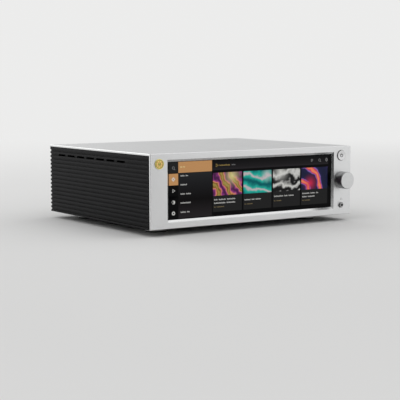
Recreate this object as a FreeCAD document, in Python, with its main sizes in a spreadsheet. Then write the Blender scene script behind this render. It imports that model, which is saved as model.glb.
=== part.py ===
import FreeCAD, Part
import math
import os
import Sketcher

# Network music streamer: silver front with a wide display, black ribbed sides, a silver cover and four feet.
# Millimetres. X runs to the right, Y from the front to the back and Z up. The origin is on the floor, under
# the middle of the whole object with its knob and its rear sockets.

doc = FreeCAD.newDocument("MusicStreamer")
sheet = doc.addObject("Spreadsheet::Sheet", "Sizes")

housing = {
    "body_width": 355,
    "body_depth": 292,
    "body_height": 102.5,
    "front_thickness": 3,
    "frame_thickness": 2.4,
    "cover_thickness": 2.5,
    "tray_thickness": 1.5,
    "rear_thickness": 1.6,
    "side_thickness": 8,
    "edge_chamfer": 0.5,
    "seam_gap": 0.2,
    "lip_thickness": 1.5,
    "cover_lip_depth": 12,
    "cover_hook_depth": 3.6,
    "cover_hook_width": 30,
    "cover_hook_offset": 80,
    "tray_front_lip": 5,
    "tray_rear_lip": 10,
    "tray_vent_count": 10,
    "tray_vent_pitch": 9,
    "tray_vent_width": 3,
    "tray_vent_length": 60,
    "tray_vent_y": 170,
    "ledge_width": 10,
    "ledge_thickness": 3,
}

side_ribs = {
    "groove_pitch": 6,
    "groove_width": 3,
    "groove_depth": 2.2,
    "first_groove": 4.1,
    "top_rib": 3,
    "vent_count": 7,
    "vent_length": 22,
    "vent_height": 3,
    "vent_pitch": 29.4,
    "first_vent": 70.4,
}

window = {
    "window_left": 27,
    "window_right": 33,
    "window_bottom": 8.6,
    "window_top": 8.5,
    "window_bevel_width": 3,
    "window_bevel_depth": 2.6,
    "glass_thickness": 1.1,
    "glass_gap": 0.3,
    "module_thickness": 5,
    "clamp_wall": 1.7,
    "clamp_back": 1,
    "clamp_window_width": 66,
    "clamp_window_height": 50,
    "clamp_window_offset": 108,
    "driver_width": 150,
    "driver_height": 46,
    "driver_post_length": 4,
    "driver_post_radius": 3,
    "cable_width": 30,
    "cable_thickness": 0.4,
    "cable_level": 8,
    "cable_standoff": 3,
}

controls = {
    "control_inset": 18.8,
    "badge_inset": 14,
    "badge_radius": 6.9,
    "badge_reach": 1,
    "badge_seat_depth": 1,
    "badge_dish_depth": 0.3,
    "badge_rim_width": 0.8,
    "upper_row_drop": 13.9,
    "button_radius": 7.75,
    "button_reach": 1.3,
    "button_gap": 0.35,
    "button_flange_width": 1,
    "button_flange_thickness": 0.8,
    "button_chamfer": 0.4,
    "button_dish_depth": 0.5,
    "button_rim_width": 0.7,
    "button_stem_radius": 2.5,
    "button_travel": 0.8,
    "guide_thickness": 1.6,
    "guide_clearance": 0.3,
    "guide_radius": 10.3,
    "switch_width": 6.2,
    "switch_height": 3,
    "switch_plunger_radius": 1.7,
    "switch_plunger_reach": 1.4,
    "knob_level": 51.8,
    "knob_radius": 12.7,
    "knob_reach": 15,
    "knob_back_gap": 1,
    "knob_chamfer": 0.6,
    "knob_recess_radius": 7.2,
    "knob_recess_depth": 3.2,
    "knob_travel": 0.5,
    "shaft_radius": 3,
    "shaft_bore_depth": 11,
    "shaft_fit": 0.05,
    "shaft_disc_radius": 4.2,
    "shaft_disc_thickness": 1.2,
    "bushing_radius": 3.5,
    "bushing_reach": 1.7,
    "bushing_hole_gap": 0.15,
    "encoder_width": 12.4,
    "encoder_height": 13.4,
    "encoder_depth": 6.5,
    "encoder_chamber_radius": 4.6,
    "encoder_chamber_depth": 4.9,
    "encoder_wall": 0.8,
    "encoder_nut_radius": 5.6,
    "encoder_nut_thickness": 1.5,
    "encoder_plunger_radius": 2,
    "running_gap": 0.3,
    "jack_level": 14.1,
    "jack_bore_radius": 1.8,
    "jack_bore_depth": 15,
    "jack_mouth_chamfer": 0.5,
    "jack_bushing_radius": 3,
    "jack_reach": 2.8,
    "jack_nut_radius": 4,
    "jack_nut_reach": 2.3,
    "jack_body_width": 12,
    "jack_body_height": 11,
    "control_board_width": 20,
    "control_board_bottom": 6,
    "control_board_top_gap": 3,
    "board_thickness": 1.6,
}

feet = {
    "foot_radius": 17.2,
    "foot_neck_radius": 15.2,
    "foot_neck_height": 2.6,
    "foot_shell_height": 8.2,
    "foot_chamfer": 0.7,
    "pad_radius": 14.4,
    "pad_reach": 1.8,
    "pad_seat": 1,
    "pad_hole_radius": 5.4,
    "foot_inset": 43.4,
    "front_foot_inset": 55.7,
    "rear_foot_inset": 38,
    "foot_screw_radius": 2,
    "foot_head_radius": 3.8,
    "foot_head_height": 2.6,
    "foot_boss_radius": 4.5,
    "foot_boss_height": 3,
}

fasteners = {
    "screw_radius": 1.5,
    "screw_clearance": 0.05,
    "head_radius": 2.6,
    "head_height": 1.8,
    "side_screw_length": 12,
    "short_screw_length": 4,
    "side_screw_low": 19,
    "side_screw_drop": 24,
    "cover_screw_drop": 5.5,
    "cover_screw_offset": 110,
    "tray_screw_front": 34,
    "tray_screw_back": 30,
    "stud_length": 6,
    "nut_radius": 3.1,
    "nut_thickness": 2.4,
    "stud_low": 31,
    "standoff_radius": 2.8,
    "standoff_height": 8.5,
    "board_screw_inset": 5,
    "board_screw_back_inset": 25,
    "standoff_gap": 1.2,
}

inside = {
    "transformer_radius": 42,
    "transformer_hole_radius": 13,
    "transformer_height": 36,
    "transformer_round": 7,
    "transformer_x": 62,
    "transformer_y": 125,
    "washer_radius": 26,
    "washer_thickness": 1.5,
    "transformer_bolt_radius": 4,
    "transformer_bolt_head": 6.5,
    "transformer_bolt_head_height": 5,
    "supply_left": 22,
    "supply_right": 104,
    "supply_front": 174,
    "supply_back": 262,
    "supply_capacitor_radius": 8,
    "supply_capacitor_height": 30,
    "supply_capacitor_pitch": 19,
    "screen_x": 108,
    "screen_front": 62,
    "screen_back_gap": 7,
    "screen_height": 84,
    "screen_foot": 9,
    "screen_thickness": 1,
    "board_gap": 3,
    "main_front": 135,
    "board_rear_gap": 2.5,
    "module_width": 62,
    "module_depth": 46,
    "module_height": 4,
    "module_y": 195,
    "sink_height": 20,
    "sink_base": 4,
    "sink_fin_pitch": 6,
    "sink_fin_count": 8,
    "sink_fin_gap": 4,
    "audio_front": 150,
    "audio_capacitor_radius": 6.3,
    "audio_capacitor_height": 25,
    "audio_capacitor_pitch": 17,
}

rear_sockets = {
    "cutout_gap": 0.3,
    "socket_reach": 0.6,
    "inlet_x": 57,
    "inlet_level": 31,
    "inlet_flange_width": 50,
    "inlet_flange_height": 24,
    "inlet_flange_thickness": 3,
    "inlet_body_width": 28,
    "inlet_body_height": 20,
    "inlet_body_depth": 20,
    "inlet_mouth_width": 24.4,
    "inlet_mouth_height": 16.6,
    "inlet_mouth_depth": 16,
    "inlet_corner": 4.5,
    "inlet_pin_width": 2,
    "inlet_pin_height": 4,
    "inlet_pin_length": 13,
    "inlet_pin_spread": 7,
    "inlet_pin_raise": 2,
    "inlet_screw_spread": 20,
    "rocker_x": 57,
    "rocker_level": 66,
    "rocker_bezel_width": 17,
    "rocker_bezel_height": 23,
    "rocker_bezel_thickness": 1.6,
    "rocker_case_width": 14.6,
    "rocker_case_height": 20.4,
    "rocker_case_depth": 16,
    "rocker_well_width": 11.4,
    "rocker_well_height": 17.6,
    "rocker_well_depth": 9,
    "rocker_half_height": 7.7,
    "rocker_tip": 3,
    "rocker_valley": 1.2,
    "rocker_keel": 2.5,
    "rocker_pivot_drop": 2,
    "rocker_tilt": 11,
    "rocker_pin_radius": 1,
    "rocker_pin_length": 1.2,
    "network_width": 16,
    "network_height": 13.6,
    "network_depth": 21,
    "network_mouth_width": 11.8,
    "network_mouth_height": 7.6,
    "network_mouth_depth": 13,
    "network_mouth_drop": 4.6,
    "network_latch_width": 6,
    "network_latch_drop": 2.4,
    "usb_width": 14.6,
    "usb_height": 16,
    "usb_depth": 18,
    "usb_mouth_width": 12.6,
    "usb_mouth_height": 5.2,
    "usb_mouth_depth": 13,
    "usb_mouth_low": 1.2,
    "usb_mouth_pitch": 8.2,
    "usb_tongue_width": 11.2,
    "usb_tongue_height": 1.8,
    "usb_tongue_depth": 9,
    "video_width": 15.2,
    "video_height": 6.4,
    "video_depth": 12,
    "video_wall": 0.6,
    "video_mouth_depth": 9,
    "video_corner": 1.6,
    "video_tongue_width": 11.4,
    "video_tongue_height": 1.2,
    "optical_width": 10,
    "optical_height": 10,
    "optical_depth": 14,
    "optical_mouth": 6.2,
    "optical_mouth_depth": 8.5,
    "pair_width": 14,
    "pair_height": 32,
    "pair_depth": 12,
    "pair_low": 8.4,
    "pair_pitch": 15.6,
    "sleeve_radius": 4.15,
    "sleeve_reach": 9,
    "sleeve_hole_radius": 1.65,
    "sleeve_hole_depth": 12,
    "sleeve_base_radius": 5.4,
    "sleeve_base_reach": 1,
    "balanced_level": 36,
    "balanced_flange_width": 26,
    "balanced_flange_height": 31,
    "balanced_flange_thickness": 2,
    "balanced_case_radius": 11.9,
    "balanced_case_depth": 20,
    "balanced_mouth_radius": 9.6,
    "balanced_mouth_depth": 15,
    "balanced_pin_radius": 1.2,
    "balanced_pin_length": 12,
    "balanced_pin_spread": 3.6,
    "balanced_pin_raise": 1.8,
    "balanced_pin_drop": 4.1,
    "balanced_screw_x": 9.5,
    "balanced_screw_z": 12,
}


class Size:
    """A length together with the sheet formula that gives it."""

    def __init__(self, value, formula):
        self.value = value
        self.formula = formula

    def join(self, sign, value, other, first=True):
        pair = (self.formula, other.formula) if first else (other.formula, self.formula)
        return Size(value, f"({pair[0]} {sign} {pair[1]})")

    def __add__(self, other):
        other = as_size(other)
        return self.join("+", self.value + other.value, other)

    __radd__ = __add__

    def __sub__(self, other):
        other = as_size(other)
        return self.join("-", self.value - other.value, other)

    def __rsub__(self, other):
        return as_size(other) - self

    def __mul__(self, other):
        other = as_size(other)
        return self.join("*", self.value * other.value, other)

    __rmul__ = __mul__

    def __truediv__(self, other):
        other = as_size(other)
        return self.join("/", self.value / other.value, other)

    def __neg__(self):
        return Size(-self.value, f"(-{self.formula})")


def as_size(value):
    return value if isinstance(value, Size) else Size(float(value), repr(float(value)))


def around(middle, width):
    return (middle - width / 2, middle + width / 2)


def corners_of(x, z, inset):
    return [(side, level) for side in (x[0] + inset, x[1] - inset) for level in (z[0] + inset, z[1] - inset)]


def whole(value):
    """A size rounded down to a whole number, in the formula too."""
    return Size(math.floor(value.value), f"floor({value.formula})")


class Sheet:
    """The sizes by name, each bound to its cell."""


sizes = Sheet()
row = 0
for group in (housing, side_ribs, window, controls, feet, fasteners, inside, rear_sockets):
    for name, value in group.items():
        row += 1
        sheet.set(f"A{row}", name)
        sheet.set(f"B{row}", str(value))
        sheet.setAlias(f"B{row}", name)
        setattr(sizes, name, Size(float(value), f"Sizes.{name}"))
doc.recompute()

# Levels and planes that several pieces share
foot_height = sizes.foot_shell_height + sizes.pad_reach
rear_reach = sizes.rear_thickness + sizes.sleeve_reach
left = -sizes.body_width / 2
right = sizes.body_width / 2
front = (sizes.knob_reach - sizes.body_depth - rear_reach) / 2
back = front + sizes.body_depth
bottom = foot_height
top = bottom + sizes.body_height
cover_underside = top - sizes.cover_thickness
panel_back = front + sizes.front_thickness
frame_back = panel_back + sizes.frame_thickness
rear_face = back + sizes.rear_thickness
tray_top = bottom + sizes.tray_thickness
board_bottom = tray_top + sizes.standoff_height
board_top = board_bottom + sizes.board_thickness
inner_left = left + sizes.side_thickness
inner_right = right - sizes.side_thickness
control_x = right - sizes.control_inset
badge_x = left + sizes.badge_inset
button_z = top - sizes.upper_row_drop
knob_z = bottom + sizes.knob_level
jack_z = bottom + sizes.jack_level
screw_hole = sizes.screw_radius + sizes.screw_clearance

# Window and glass, shared by the front panel, the frame and the display
window_x = (left + sizes.window_left, right - sizes.window_right)
window_z = (bottom + sizes.window_bottom, top - sizes.window_top)
opening_x = (window_x[0] + sizes.window_bevel_width, window_x[1] - sizes.window_bevel_width)
opening_z = (window_z[0] + sizes.window_bevel_width, window_z[1] - sizes.window_bevel_width)
frame_opening_x = (window_x[0] - sizes.glass_gap, window_x[1] + sizes.glass_gap)
frame_opening_z = (window_z[0] - sizes.glass_gap, window_z[1] + sizes.glass_gap)
window_middle = (window_x[0] + window_x[1]) / 2
window_centre_z = (window_z[0] + window_z[1]) / 2
glass_back = panel_back + sizes.glass_thickness
module_back = glass_back + sizes.module_thickness
clamp_back = module_back + sizes.clamp_back

# Board behind the display, on posts of its clamp
driver_back = clamp_back + sizes.driver_post_length + sizes.board_thickness
driver_x = around(window_middle, sizes.driver_width)
driver_z = around(window_centre_z, sizes.driver_height)
post_inset = 2 * sizes.driver_post_radius
driver_post_places = corners_of(driver_x, driver_z, post_inset)

# Depths of the controls behind the front
guide_back = frame_back + sizes.guide_thickness
encoder_back = frame_back + sizes.encoder_depth
stem_end = encoder_back - sizes.switch_height - sizes.switch_plunger_reach

# Studs between the controls on the right, and level with them on the left
encoder_top = knob_z + sizes.encoder_height / 2
stud_levels = (bottom + sizes.stud_low, (encoder_top + button_z - sizes.guide_radius) / 2)
stud_places = [(x, z) for x in (badge_x, control_x) for z in stud_levels]

# Ribs, vents and screw ports of the side panels
rib_height = cover_underside - bottom - sizes.first_groove - sizes.top_rib
groove_count = whole(rib_height / sizes.groove_pitch) + 1
vent_groove = bottom + sizes.first_groove + (groove_count - 2) * sizes.groove_pitch
port_inset = (sizes.groove_depth + sizes.side_thickness) / 2
port_low = bottom + sizes.side_screw_low
port_high = cover_underside - sizes.side_screw_drop
port_levels = (port_low, (port_low + port_high) / 2, port_high)
rear_screw_places = [(x, z) for x in (left + port_inset, right - port_inset) for z in port_levels]

# Screws and feet under the tray, and the screws of the cover
tray_screw_left = inner_left + sizes.ledge_width / 2
tray_screw_right = inner_right - sizes.ledge_width / 2
tray_screw_rows = (front + sizes.tray_screw_front, (front + back) / 2, back - sizes.tray_screw_back)
cover_screw_z = cover_underside - sizes.cover_screw_drop
cover_screw_places = [(side * sizes.cover_screw_offset, cover_screw_z) for side in (-1, 0, 1)]
foot_places = {
    "front_left": (left + sizes.foot_inset, front + sizes.front_foot_inset),
    "front_right": (right - sizes.foot_inset, front + sizes.front_foot_inset),
    "rear_left": (left + sizes.foot_inset, back - sizes.rear_foot_inset),
    "rear_right": (right - sizes.foot_inset, back - sizes.rear_foot_inset),
}

# Mains inlet and switch at the left of the rear panel
socket_face = rear_face + sizes.socket_reach
inlet_place = (left + sizes.inlet_x, bottom + sizes.inlet_level)
rocker_place = (left + sizes.rocker_x, bottom + sizes.rocker_level)
inlet_screw_places = [(inlet_place[0] + side * sizes.inlet_screw_spread, inlet_place[1]) for side in (-1, 1)]

# The other sockets in one row, from the screen to the right side panel, with even gaps
screen_left = left + sizes.screen_x
screen_right = screen_left + sizes.screen_foot
row_widths = {
    "network": sizes.network_width,
    "usb": sizes.usb_width,
    "video": sizes.video_width,
    "optical_left": sizes.optical_width,
    "optical_right": sizes.optical_width,
    "coaxial": sizes.pair_width,
    "line": sizes.pair_width,
    "balanced_left": sizes.balanced_flange_width,
    "balanced_right": sizes.balanced_flange_width,
}
row_gap = (inner_right - screen_right - sum(row_widths.values())) / (len(row_widths) + 1)
row_x = {}
taken = as_size(0)
for number, (name, width) in enumerate(row_widths.items(), 1):
    row_x[name] = screen_right + number * row_gap + taken + width / 2
    taken = taken + width
pair_low = board_top + sizes.pair_low
pair_levels = (pair_low, pair_low + sizes.pair_pitch)
balanced_z = bottom + sizes.balanced_level
balanced_screw_places = {
    side: [
        (row_x[f"balanced_{side}"] - sizes.balanced_screw_x, balanced_z + sizes.balanced_screw_z),
        (row_x[f"balanced_{side}"] + sizes.balanced_screw_x, balanced_z - sizes.balanced_screw_z),
    ]
    for side in ("left", "right")
}

# Boards on the tray, each as ((left, right), (front, back)); main and audio meet between their sockets
board_back = back - sizes.board_rear_gap
board_seam = (row_x["optical_right"] + row_x["coaxial"] + (sizes.optical_width - sizes.pair_width) / 2) / 2
audio_right = inner_right - sizes.ledge_width - sizes.standoff_gap - sizes.standoff_radius
main_x = (screen_right + sizes.board_gap, board_seam - sizes.board_gap / 2)
audio_x = (board_seam + sizes.board_gap / 2, audio_right + sizes.board_screw_inset)
supply_x = (left + sizes.supply_left, left + sizes.supply_right)
boards = {
    "main_board": (main_x, (front + sizes.main_front, board_back)),
    "audio_board": (audio_x, (front + sizes.audio_front, board_back)),
    "supply_board": (supply_x, (front + sizes.supply_front, front + sizes.supply_back)),
}
module_x = (main_x[0] + main_x[1]) / 2

turn_to = {
    "x": FreeCAD.Rotation(FreeCAD.Vector(0, 1, 0), 90),
    "y": FreeCAD.Rotation(FreeCAD.Vector(1, 0, 0), -90),
    "z": FreeCAD.Rotation(),
}
nodes = []


def bind(thing, **lengths):
    for name, length in lengths.items():
        thing.setExpression(name, as_size(length).formula)


def move(thing, x, y, z):
    for name, length in (("x", x), ("y", y), ("z", z)):
        thing.setExpression(f"Placement.Base.{name}", as_size(length).formula)


def node(piece, name):
    piece.Label = name
    nodes.append(piece)
    return piece


def box(name, x, y, z):
    """A block between two values along each axis."""
    block = doc.addObject("Part::Box", name)
    bind(block, Length=x[1] - x[0], Width=y[1] - y[0], Height=z[1] - z[0])
    move(block, x[0], y[0], z[0])
    return block


def rod(name, axis, start, radius, length):
    cylinder = doc.addObject("Part::Cylinder", name)
    cylinder.Placement = FreeCAD.Placement(FreeCAD.Vector(), turn_to[axis])
    bind(cylinder, Radius=radius, Height=length)
    move(cylinder, *start)
    return cylinder


def cone(name, axis, start, radius, end_radius, length):
    taper = doc.addObject("Part::Cone", name)
    taper.Placement = FreeCAD.Placement(FreeCAD.Vector(), turn_to[axis])
    bind(taper, Radius1=radius, Radius2=end_radius, Height=length)
    move(taper, *start)
    return taper


def fuse(name, pieces):
    joined = doc.addObject("Part::MultiFuse", name)
    joined.Shapes = pieces
    return joined


def group_of(name, pieces):
    bundle = doc.addObject("Part::Compound", name)
    bundle.Links = pieces
    return bundle


def cut(name, base, tools):
    tool = tools[0] if len(tools) == 1 else group_of(f"{name}_tools", tools)
    rest = doc.addObject("Part::Cut", name)
    rest.Base = base
    rest.Tool = tool
    return rest


def new_body(name):
    return doc.addObject("PartDesign::Body", name)


def new_sketch(body, name, role, level):
    """A sketch on one of the body's origin planes, moved to a level along X, Y or Z."""
    sketch = body.newObject("Sketcher::SketchObject", name)
    plane = next(item for item in body.Origin.OriginFeatures if item.Role == role)
    sketch.AttachmentSupport = [(plane, "")]
    sketch.MapMode = "FlatFace"
    distance = -as_size(level) if role == "XZ_Plane" else as_size(level)
    sketch.setExpression("AttachmentOffset.Base.z", distance.formula)
    return sketch


def fix_point(sketch, index, place, x, z):
    for kind, length in (("DistanceX", as_size(x)), ("DistanceY", as_size(z))):
        number = sketch.addConstraint(Sketcher.Constraint(kind, -1, 1, index, place, length.value))
        sketch.setExpression(f"Constraints[{number}]", length.formula)


def add_outline(sketch, corners):
    """Straight edges from corner to corner, back to the first."""
    first = sketch.GeometryCount
    count = len(corners)
    spots = [FreeCAD.Vector(as_size(x).value, as_size(z).value, 0) for x, z in corners]
    for number in range(count):
        sketch.addGeometry(Part.LineSegment(spots[number], spots[(number + 1) % count]), False)
    for number in range(count):
        following = first + (number + 1) % count
        sketch.addConstraint(Sketcher.Constraint("Coincident", first + number, 2, following, 1))
    for number, (x, z) in enumerate(corners):
        fix_point(sketch, first + number, 1, x, z)


def add_rectangle(sketch, x, z):
    add_outline(sketch, [(x[0], z[0]), (x[1], z[0]), (x[1], z[1]), (x[0], z[1])])


def add_circle(sketch, x, z, radius):
    centre = FreeCAD.Vector(as_size(x).value, as_size(z).value, 0)
    index = sketch.addGeometry(Part.Circle(centre, FreeCAD.Vector(0, 0, 1), as_size(radius).value), False)
    number = sketch.addConstraint(Sketcher.Constraint("Radius", index, as_size(radius).value))
    sketch.setExpression(f"Constraints[{number}]", as_size(radius).formula)
    fix_point(sketch, index, 3, x, z)


def pad(body, name, sketch, length, flip=False):
    feature = body.newObject("PartDesign::Pad", name)
    feature.Profile = sketch
    feature.Reversed = flip
    bind(feature, Length=length)
    return feature


def pocket(body, name, sketch, depth, flip=False):
    feature = body.newObject("PartDesign::Pocket", name)
    feature.Profile = sketch
    feature.Reversed = flip
    bind(feature, Length=depth)
    return feature


def repeat(body, name, feature, direction, count, pitch):
    """Copies of a feature in a row along one of the body's axes."""
    pattern = body.newObject("PartDesign::LinearPattern", name)
    axis = next(item for item in body.Origin.OriginFeatures if item.Role == direction)
    pattern.Originals = [feature]
    pattern.Direction = (axis, [""])
    pattern.Mode = "Spacing"
    bind(pattern, Occurrences=count, Offset=pitch)
    body.Tip = pattern
    return pattern


def edges_where(shape, accept):
    return [f"Edge{number}" for number, edge in enumerate(shape.Edges, 1) if accept(edge)]


def dress(body, name, kind, accept, **lengths):
    """A fillet or chamfer on the edges of the last feature that pass the test."""
    doc.recompute()
    base = body.Tip
    feature = body.newObject(f"PartDesign::{kind}", name)
    feature.Base = (base, edges_where(base.Shape, accept))
    bind(feature, **lengths)
    return feature


def turned(name, axis, centre, profile):
    """A piece turned about a line along Y or Z through its centre; the profile is (along, radius) pairs."""
    body = new_body(name)
    if axis == "y":
        sketch = new_sketch(body, f"{name}_profile", "YZ_Plane", 0)
        add_outline(sketch, profile)
    else:
        sketch = new_sketch(body, f"{name}_profile", "XZ_Plane", 0)
        add_outline(sketch, [(radius, along) for along, radius in profile])
    feature = body.newObject("PartDesign::Revolution", f"{name}_turning")
    feature.Profile = sketch
    feature.ReferenceAxis = (sketch, ["H_Axis" if axis == "y" else "V_Axis"])
    feature.Angle = 360
    move(body, *centre)
    return body


def shifted(place, axis, distance):
    return tuple(value + distance if name == axis else value for name, value in zip("xyz", place))


def screw(name, axis, seat, length, forward=False):
    """A pan head seated at a point, with its shank running forward or back along the axis."""
    head_start = shifted(seat, axis, -sizes.head_height) if forward else seat
    shank_start = seat if forward else shifted(seat, axis, -length)
    head = rod(f"{name}_head", axis, head_start, sizes.head_radius, sizes.head_height)
    shank = rod(f"{name}_shank", axis, shank_start, sizes.screw_radius, length)
    return fuse(name, [head, shank])


def make_front_panel():
    body = new_body("front_panel")
    outline = new_sketch(body, "panel_outline", "XZ_Plane", front)
    add_rectangle(outline, (left, right), (bottom, top))
    pad(body, "panel_plate", outline, sizes.front_thickness, flip=True)

    rim = new_sketch(body, "window_rim", "XZ_Plane", panel_back)
    add_rectangle(rim, opening_x, opening_z)
    pocket(body, "window_hole", rim, sizes.front_thickness, flip=True)
    bevel = body.newObject("PartDesign::SubtractiveWedge", "window_bevel")
    bind(bevel, Xmin=window_x[0], Xmax=window_x[1], Zmin=window_z[0], Zmax=window_z[1], Ymin=front)
    bind(bevel, X2min=opening_x[0], X2max=opening_x[1], Z2min=opening_z[0], Z2max=opening_z[1])
    bind(bevel, Ymax=front + sizes.window_bevel_depth)

    holes = new_sketch(body, "control_holes", "XZ_Plane", front)
    add_circle(holes, control_x, button_z, sizes.button_radius + sizes.button_gap)
    add_circle(holes, control_x, knob_z, sizes.bushing_radius + sizes.bushing_hole_gap)
    add_circle(holes, control_x, jack_z, sizes.jack_bushing_radius + sizes.bushing_hole_gap)
    pocket(body, "control_openings", holes, sizes.front_thickness)
    seat = new_sketch(body, "badge_ring", "XZ_Plane", front)
    add_circle(seat, badge_x, button_z, sizes.badge_radius + sizes.screw_clearance)
    pocket(body, "badge_seat", seat, sizes.badge_seat_depth)
    studs = new_sketch(body, "stud_circles", "XZ_Plane", panel_back)
    for x, z in stud_places:
        add_circle(studs, x, z, sizes.screw_radius)
    pad(body, "studs", studs, sizes.stud_length, flip=True)

    plane = front.value
    edge = (left.value, right.value, bottom.value, top.value)

    def on_outer_edge(item):
        points = [vertex.Point for vertex in item.Vertexes]
        flat = all(abs(point.y - plane) < 0.01 for point in points)
        outside = all(min(abs(point.x - edge[0]), abs(point.x - edge[1])) < 0.01 for point in points)
        return flat and outside and len(points) == 2

    dress(body, "panel_chamfer", "Chamfer", on_outer_edge, Size=sizes.edge_chamfer)
    node(body, "front_panel")
    nuts = []
    for number, (x, z) in enumerate(stud_places):
        blank = rod(f"nut_{number}", "y", (x, frame_back, z), sizes.nut_radius, sizes.nut_thickness)
        hole = rod(f"nut_hole_{number}", "y", (x, frame_back, z), screw_hole, sizes.nut_thickness)
        nuts.append(cut(f"stud_nut_{number}", blank, [hole]))
    node(group_of("front_panel_nuts", nuts), "front_panel_nuts")


def make_front_frame():
    """The black plate behind the front panel, which carries the display and the controls."""
    body = new_body("frame_blank")
    outline = new_sketch(body, "frame_outline", "XZ_Plane", panel_back)
    add_rectangle(outline, (left + sizes.groove_depth, right - sizes.groove_depth), (bottom, cover_underside))
    pad(body, "frame_plate", outline, sizes.frame_thickness, flip=True)
    hole = new_sketch(body, "frame_window", "XZ_Plane", panel_back)
    add_rectangle(hole, frame_opening_x, frame_opening_z)
    pocket(body, "frame_opening", hole, sizes.frame_thickness)
    holes = new_sketch(body, "frame_circles", "XZ_Plane", panel_back)
    flange_radius = sizes.button_radius + sizes.button_flange_width
    add_circle(holes, control_x, button_z, flange_radius + sizes.button_gap)
    add_circle(holes, control_x, knob_z, sizes.bushing_radius + sizes.bushing_hole_gap)
    add_circle(holes, control_x, jack_z, sizes.jack_bushing_radius + sizes.bushing_hole_gap)
    for x, z in stud_places:
        add_circle(holes, x, z, screw_hole)
    pocket(body, "frame_holes", holes, sizes.frame_thickness)

    sinks = []
    screws = []
    for side, x in (("left", left + port_inset), ("right", right - port_inset)):
        for number, level in enumerate(port_levels):
            start = (x, panel_back, level)
            sinks.append(countersunk(f"frame_sink_{side}_{number}", start, sizes.screw_clearance))
            screws.append(countersunk(f"frame_screw_{side}_{number}", start, 0))
    node(cut("front_frame", body, sinks), "front_frame")
    node(group_of("frame_screws", screws), "frame_screws")


def countersunk(name, start, clearance):
    """A countersunk screw with its flat head at the start, or the hole for it, wider by the clearance."""
    shank_radius = sizes.screw_radius + clearance
    head_radius = sizes.head_radius + clearance
    head = cone(f"{name}_head", "y", start, head_radius, shank_radius, sizes.frame_thickness)
    length = sizes.side_screw_length + sizes.frame_thickness
    shank = rod(f"{name}_shank", "y", start, shank_radius, length)
    return fuse(name, [head, shank])


def make_side_panels():
    """Ribbed extrusions with a ledge for the tray, round screw ports and a row of vents in one groove."""
    body = new_body("left_side_panel")
    profile = new_sketch(body, "side_profile", "XZ_Plane", frame_back)
    ledge_z = (tray_top, tray_top + sizes.ledge_thickness)
    ledge_x = inner_left + sizes.ledge_width
    corners = [(left, bottom), (inner_left, bottom), (inner_left, ledge_z[0]), (ledge_x, ledge_z[0])]
    corners += [(ledge_x, ledge_z[1]), (inner_left, ledge_z[1]), (inner_left, cover_underside)]
    corners += [(left, cover_underside)]
    add_outline(profile, corners)
    length = sizes.body_depth - sizes.front_thickness - sizes.frame_thickness
    pad(body, "side_extrusion", profile, length, flip=True)
    ports = new_sketch(body, "screw_ports", "XZ_Plane", frame_back)
    for level in port_levels:
        add_circle(ports, left + port_inset, level, screw_hole)
    pocket(body, "port_holes", ports, length)
    groove = new_sketch(body, "groove_profile", "XZ_Plane", frame_back)
    groove_z = around(bottom + sizes.first_groove, sizes.groove_width)
    add_rectangle(groove, (left, left + sizes.groove_depth), groove_z)
    first = pocket(body, "first_groove", groove, length)
    repeat(body, "grooves", first, "Z_Axis", groove_count, sizes.groove_pitch)
    slot = new_sketch(body, "vent_profile", "YZ_Plane", inner_left)
    vent_y = front + sizes.first_vent
    add_rectangle(slot, (vent_y, vent_y + sizes.vent_length), around(vent_groove, sizes.vent_height))
    vent = pocket(body, "first_vent", slot, sizes.side_thickness)
    repeat(body, "vents", vent, "Y_Axis", sizes.vent_count, sizes.vent_pitch)
    tray_holes = new_sketch(body, "ledge_circles", "XY_Plane", ledge_z[1])
    for y in tray_screw_rows:
        add_circle(tray_holes, tray_screw_left, y, screw_hole)
    pocket(body, "ledge_holes", tray_holes, sizes.ledge_thickness)
    node(body, "left_side_panel")
    mirrored = doc.addObject("Part::Mirroring", "right_side_panel")
    mirrored.Source = body
    mirrored.Normal = FreeCAD.Vector(1, 0, 0)
    node(mirrored, "right_side_panel")


def make_top_cover():
    """The silver plate over the sides, with a lip at the back and two hooks behind the frame."""
    body = new_body("top_cover")
    plate = new_sketch(body, "cover_outline", "XY_Plane", cover_underside)
    add_rectangle(plate, (left, right), (panel_back, back))
    pad(body, "cover_plate", plate, sizes.cover_thickness)
    lip = new_sketch(body, "cover_lip_outline", "XY_Plane", cover_underside)
    inner = (inner_left + sizes.seam_gap, inner_right - sizes.seam_gap)
    add_rectangle(lip, inner, (back - sizes.lip_thickness, back))
    pad(body, "cover_lip", lip, sizes.cover_lip_depth, flip=True)
    hooks = new_sketch(body, "cover_hook_outlines", "XY_Plane", cover_underside)
    for side in (-1, 1):
        middle = side * sizes.cover_hook_offset
        hook_y = (frame_back, frame_back + sizes.lip_thickness)
        add_rectangle(hooks, around(middle, sizes.cover_hook_width), hook_y)
    pad(body, "cover_hooks", hooks, sizes.cover_hook_depth, flip=True)
    holes = new_sketch(body, "cover_screw_circles", "XZ_Plane", back)
    for x, z in cover_screw_places:
        add_circle(holes, x, z, screw_hole)
    pocket(body, "cover_screw_holes", holes, sizes.lip_thickness, flip=True)
    height = top.value
    sides = (left.value, right.value)

    def on_upper_side(item):
        points = [vertex.Point for vertex in item.Vertexes]
        high = all(abs(point.z - height) < 0.01 for point in points)
        same = abs(points[0].x - points[-1].x) < 0.01
        return high and same and min(abs(points[0].x - side) for side in sides) < 0.01

    dress(body, "cover_chamfer", "Chamfer", on_upper_side, Size=sizes.edge_chamfer)
    node(body, "top_cover")
    screws = []
    for number, (x, z) in enumerate(cover_screw_places):
        screws.append(screw(f"cover_screw_{number}", "y", (x, rear_face, z), sizes.short_screw_length))
    node(group_of("cover_screws", screws), "cover_screws")


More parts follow.
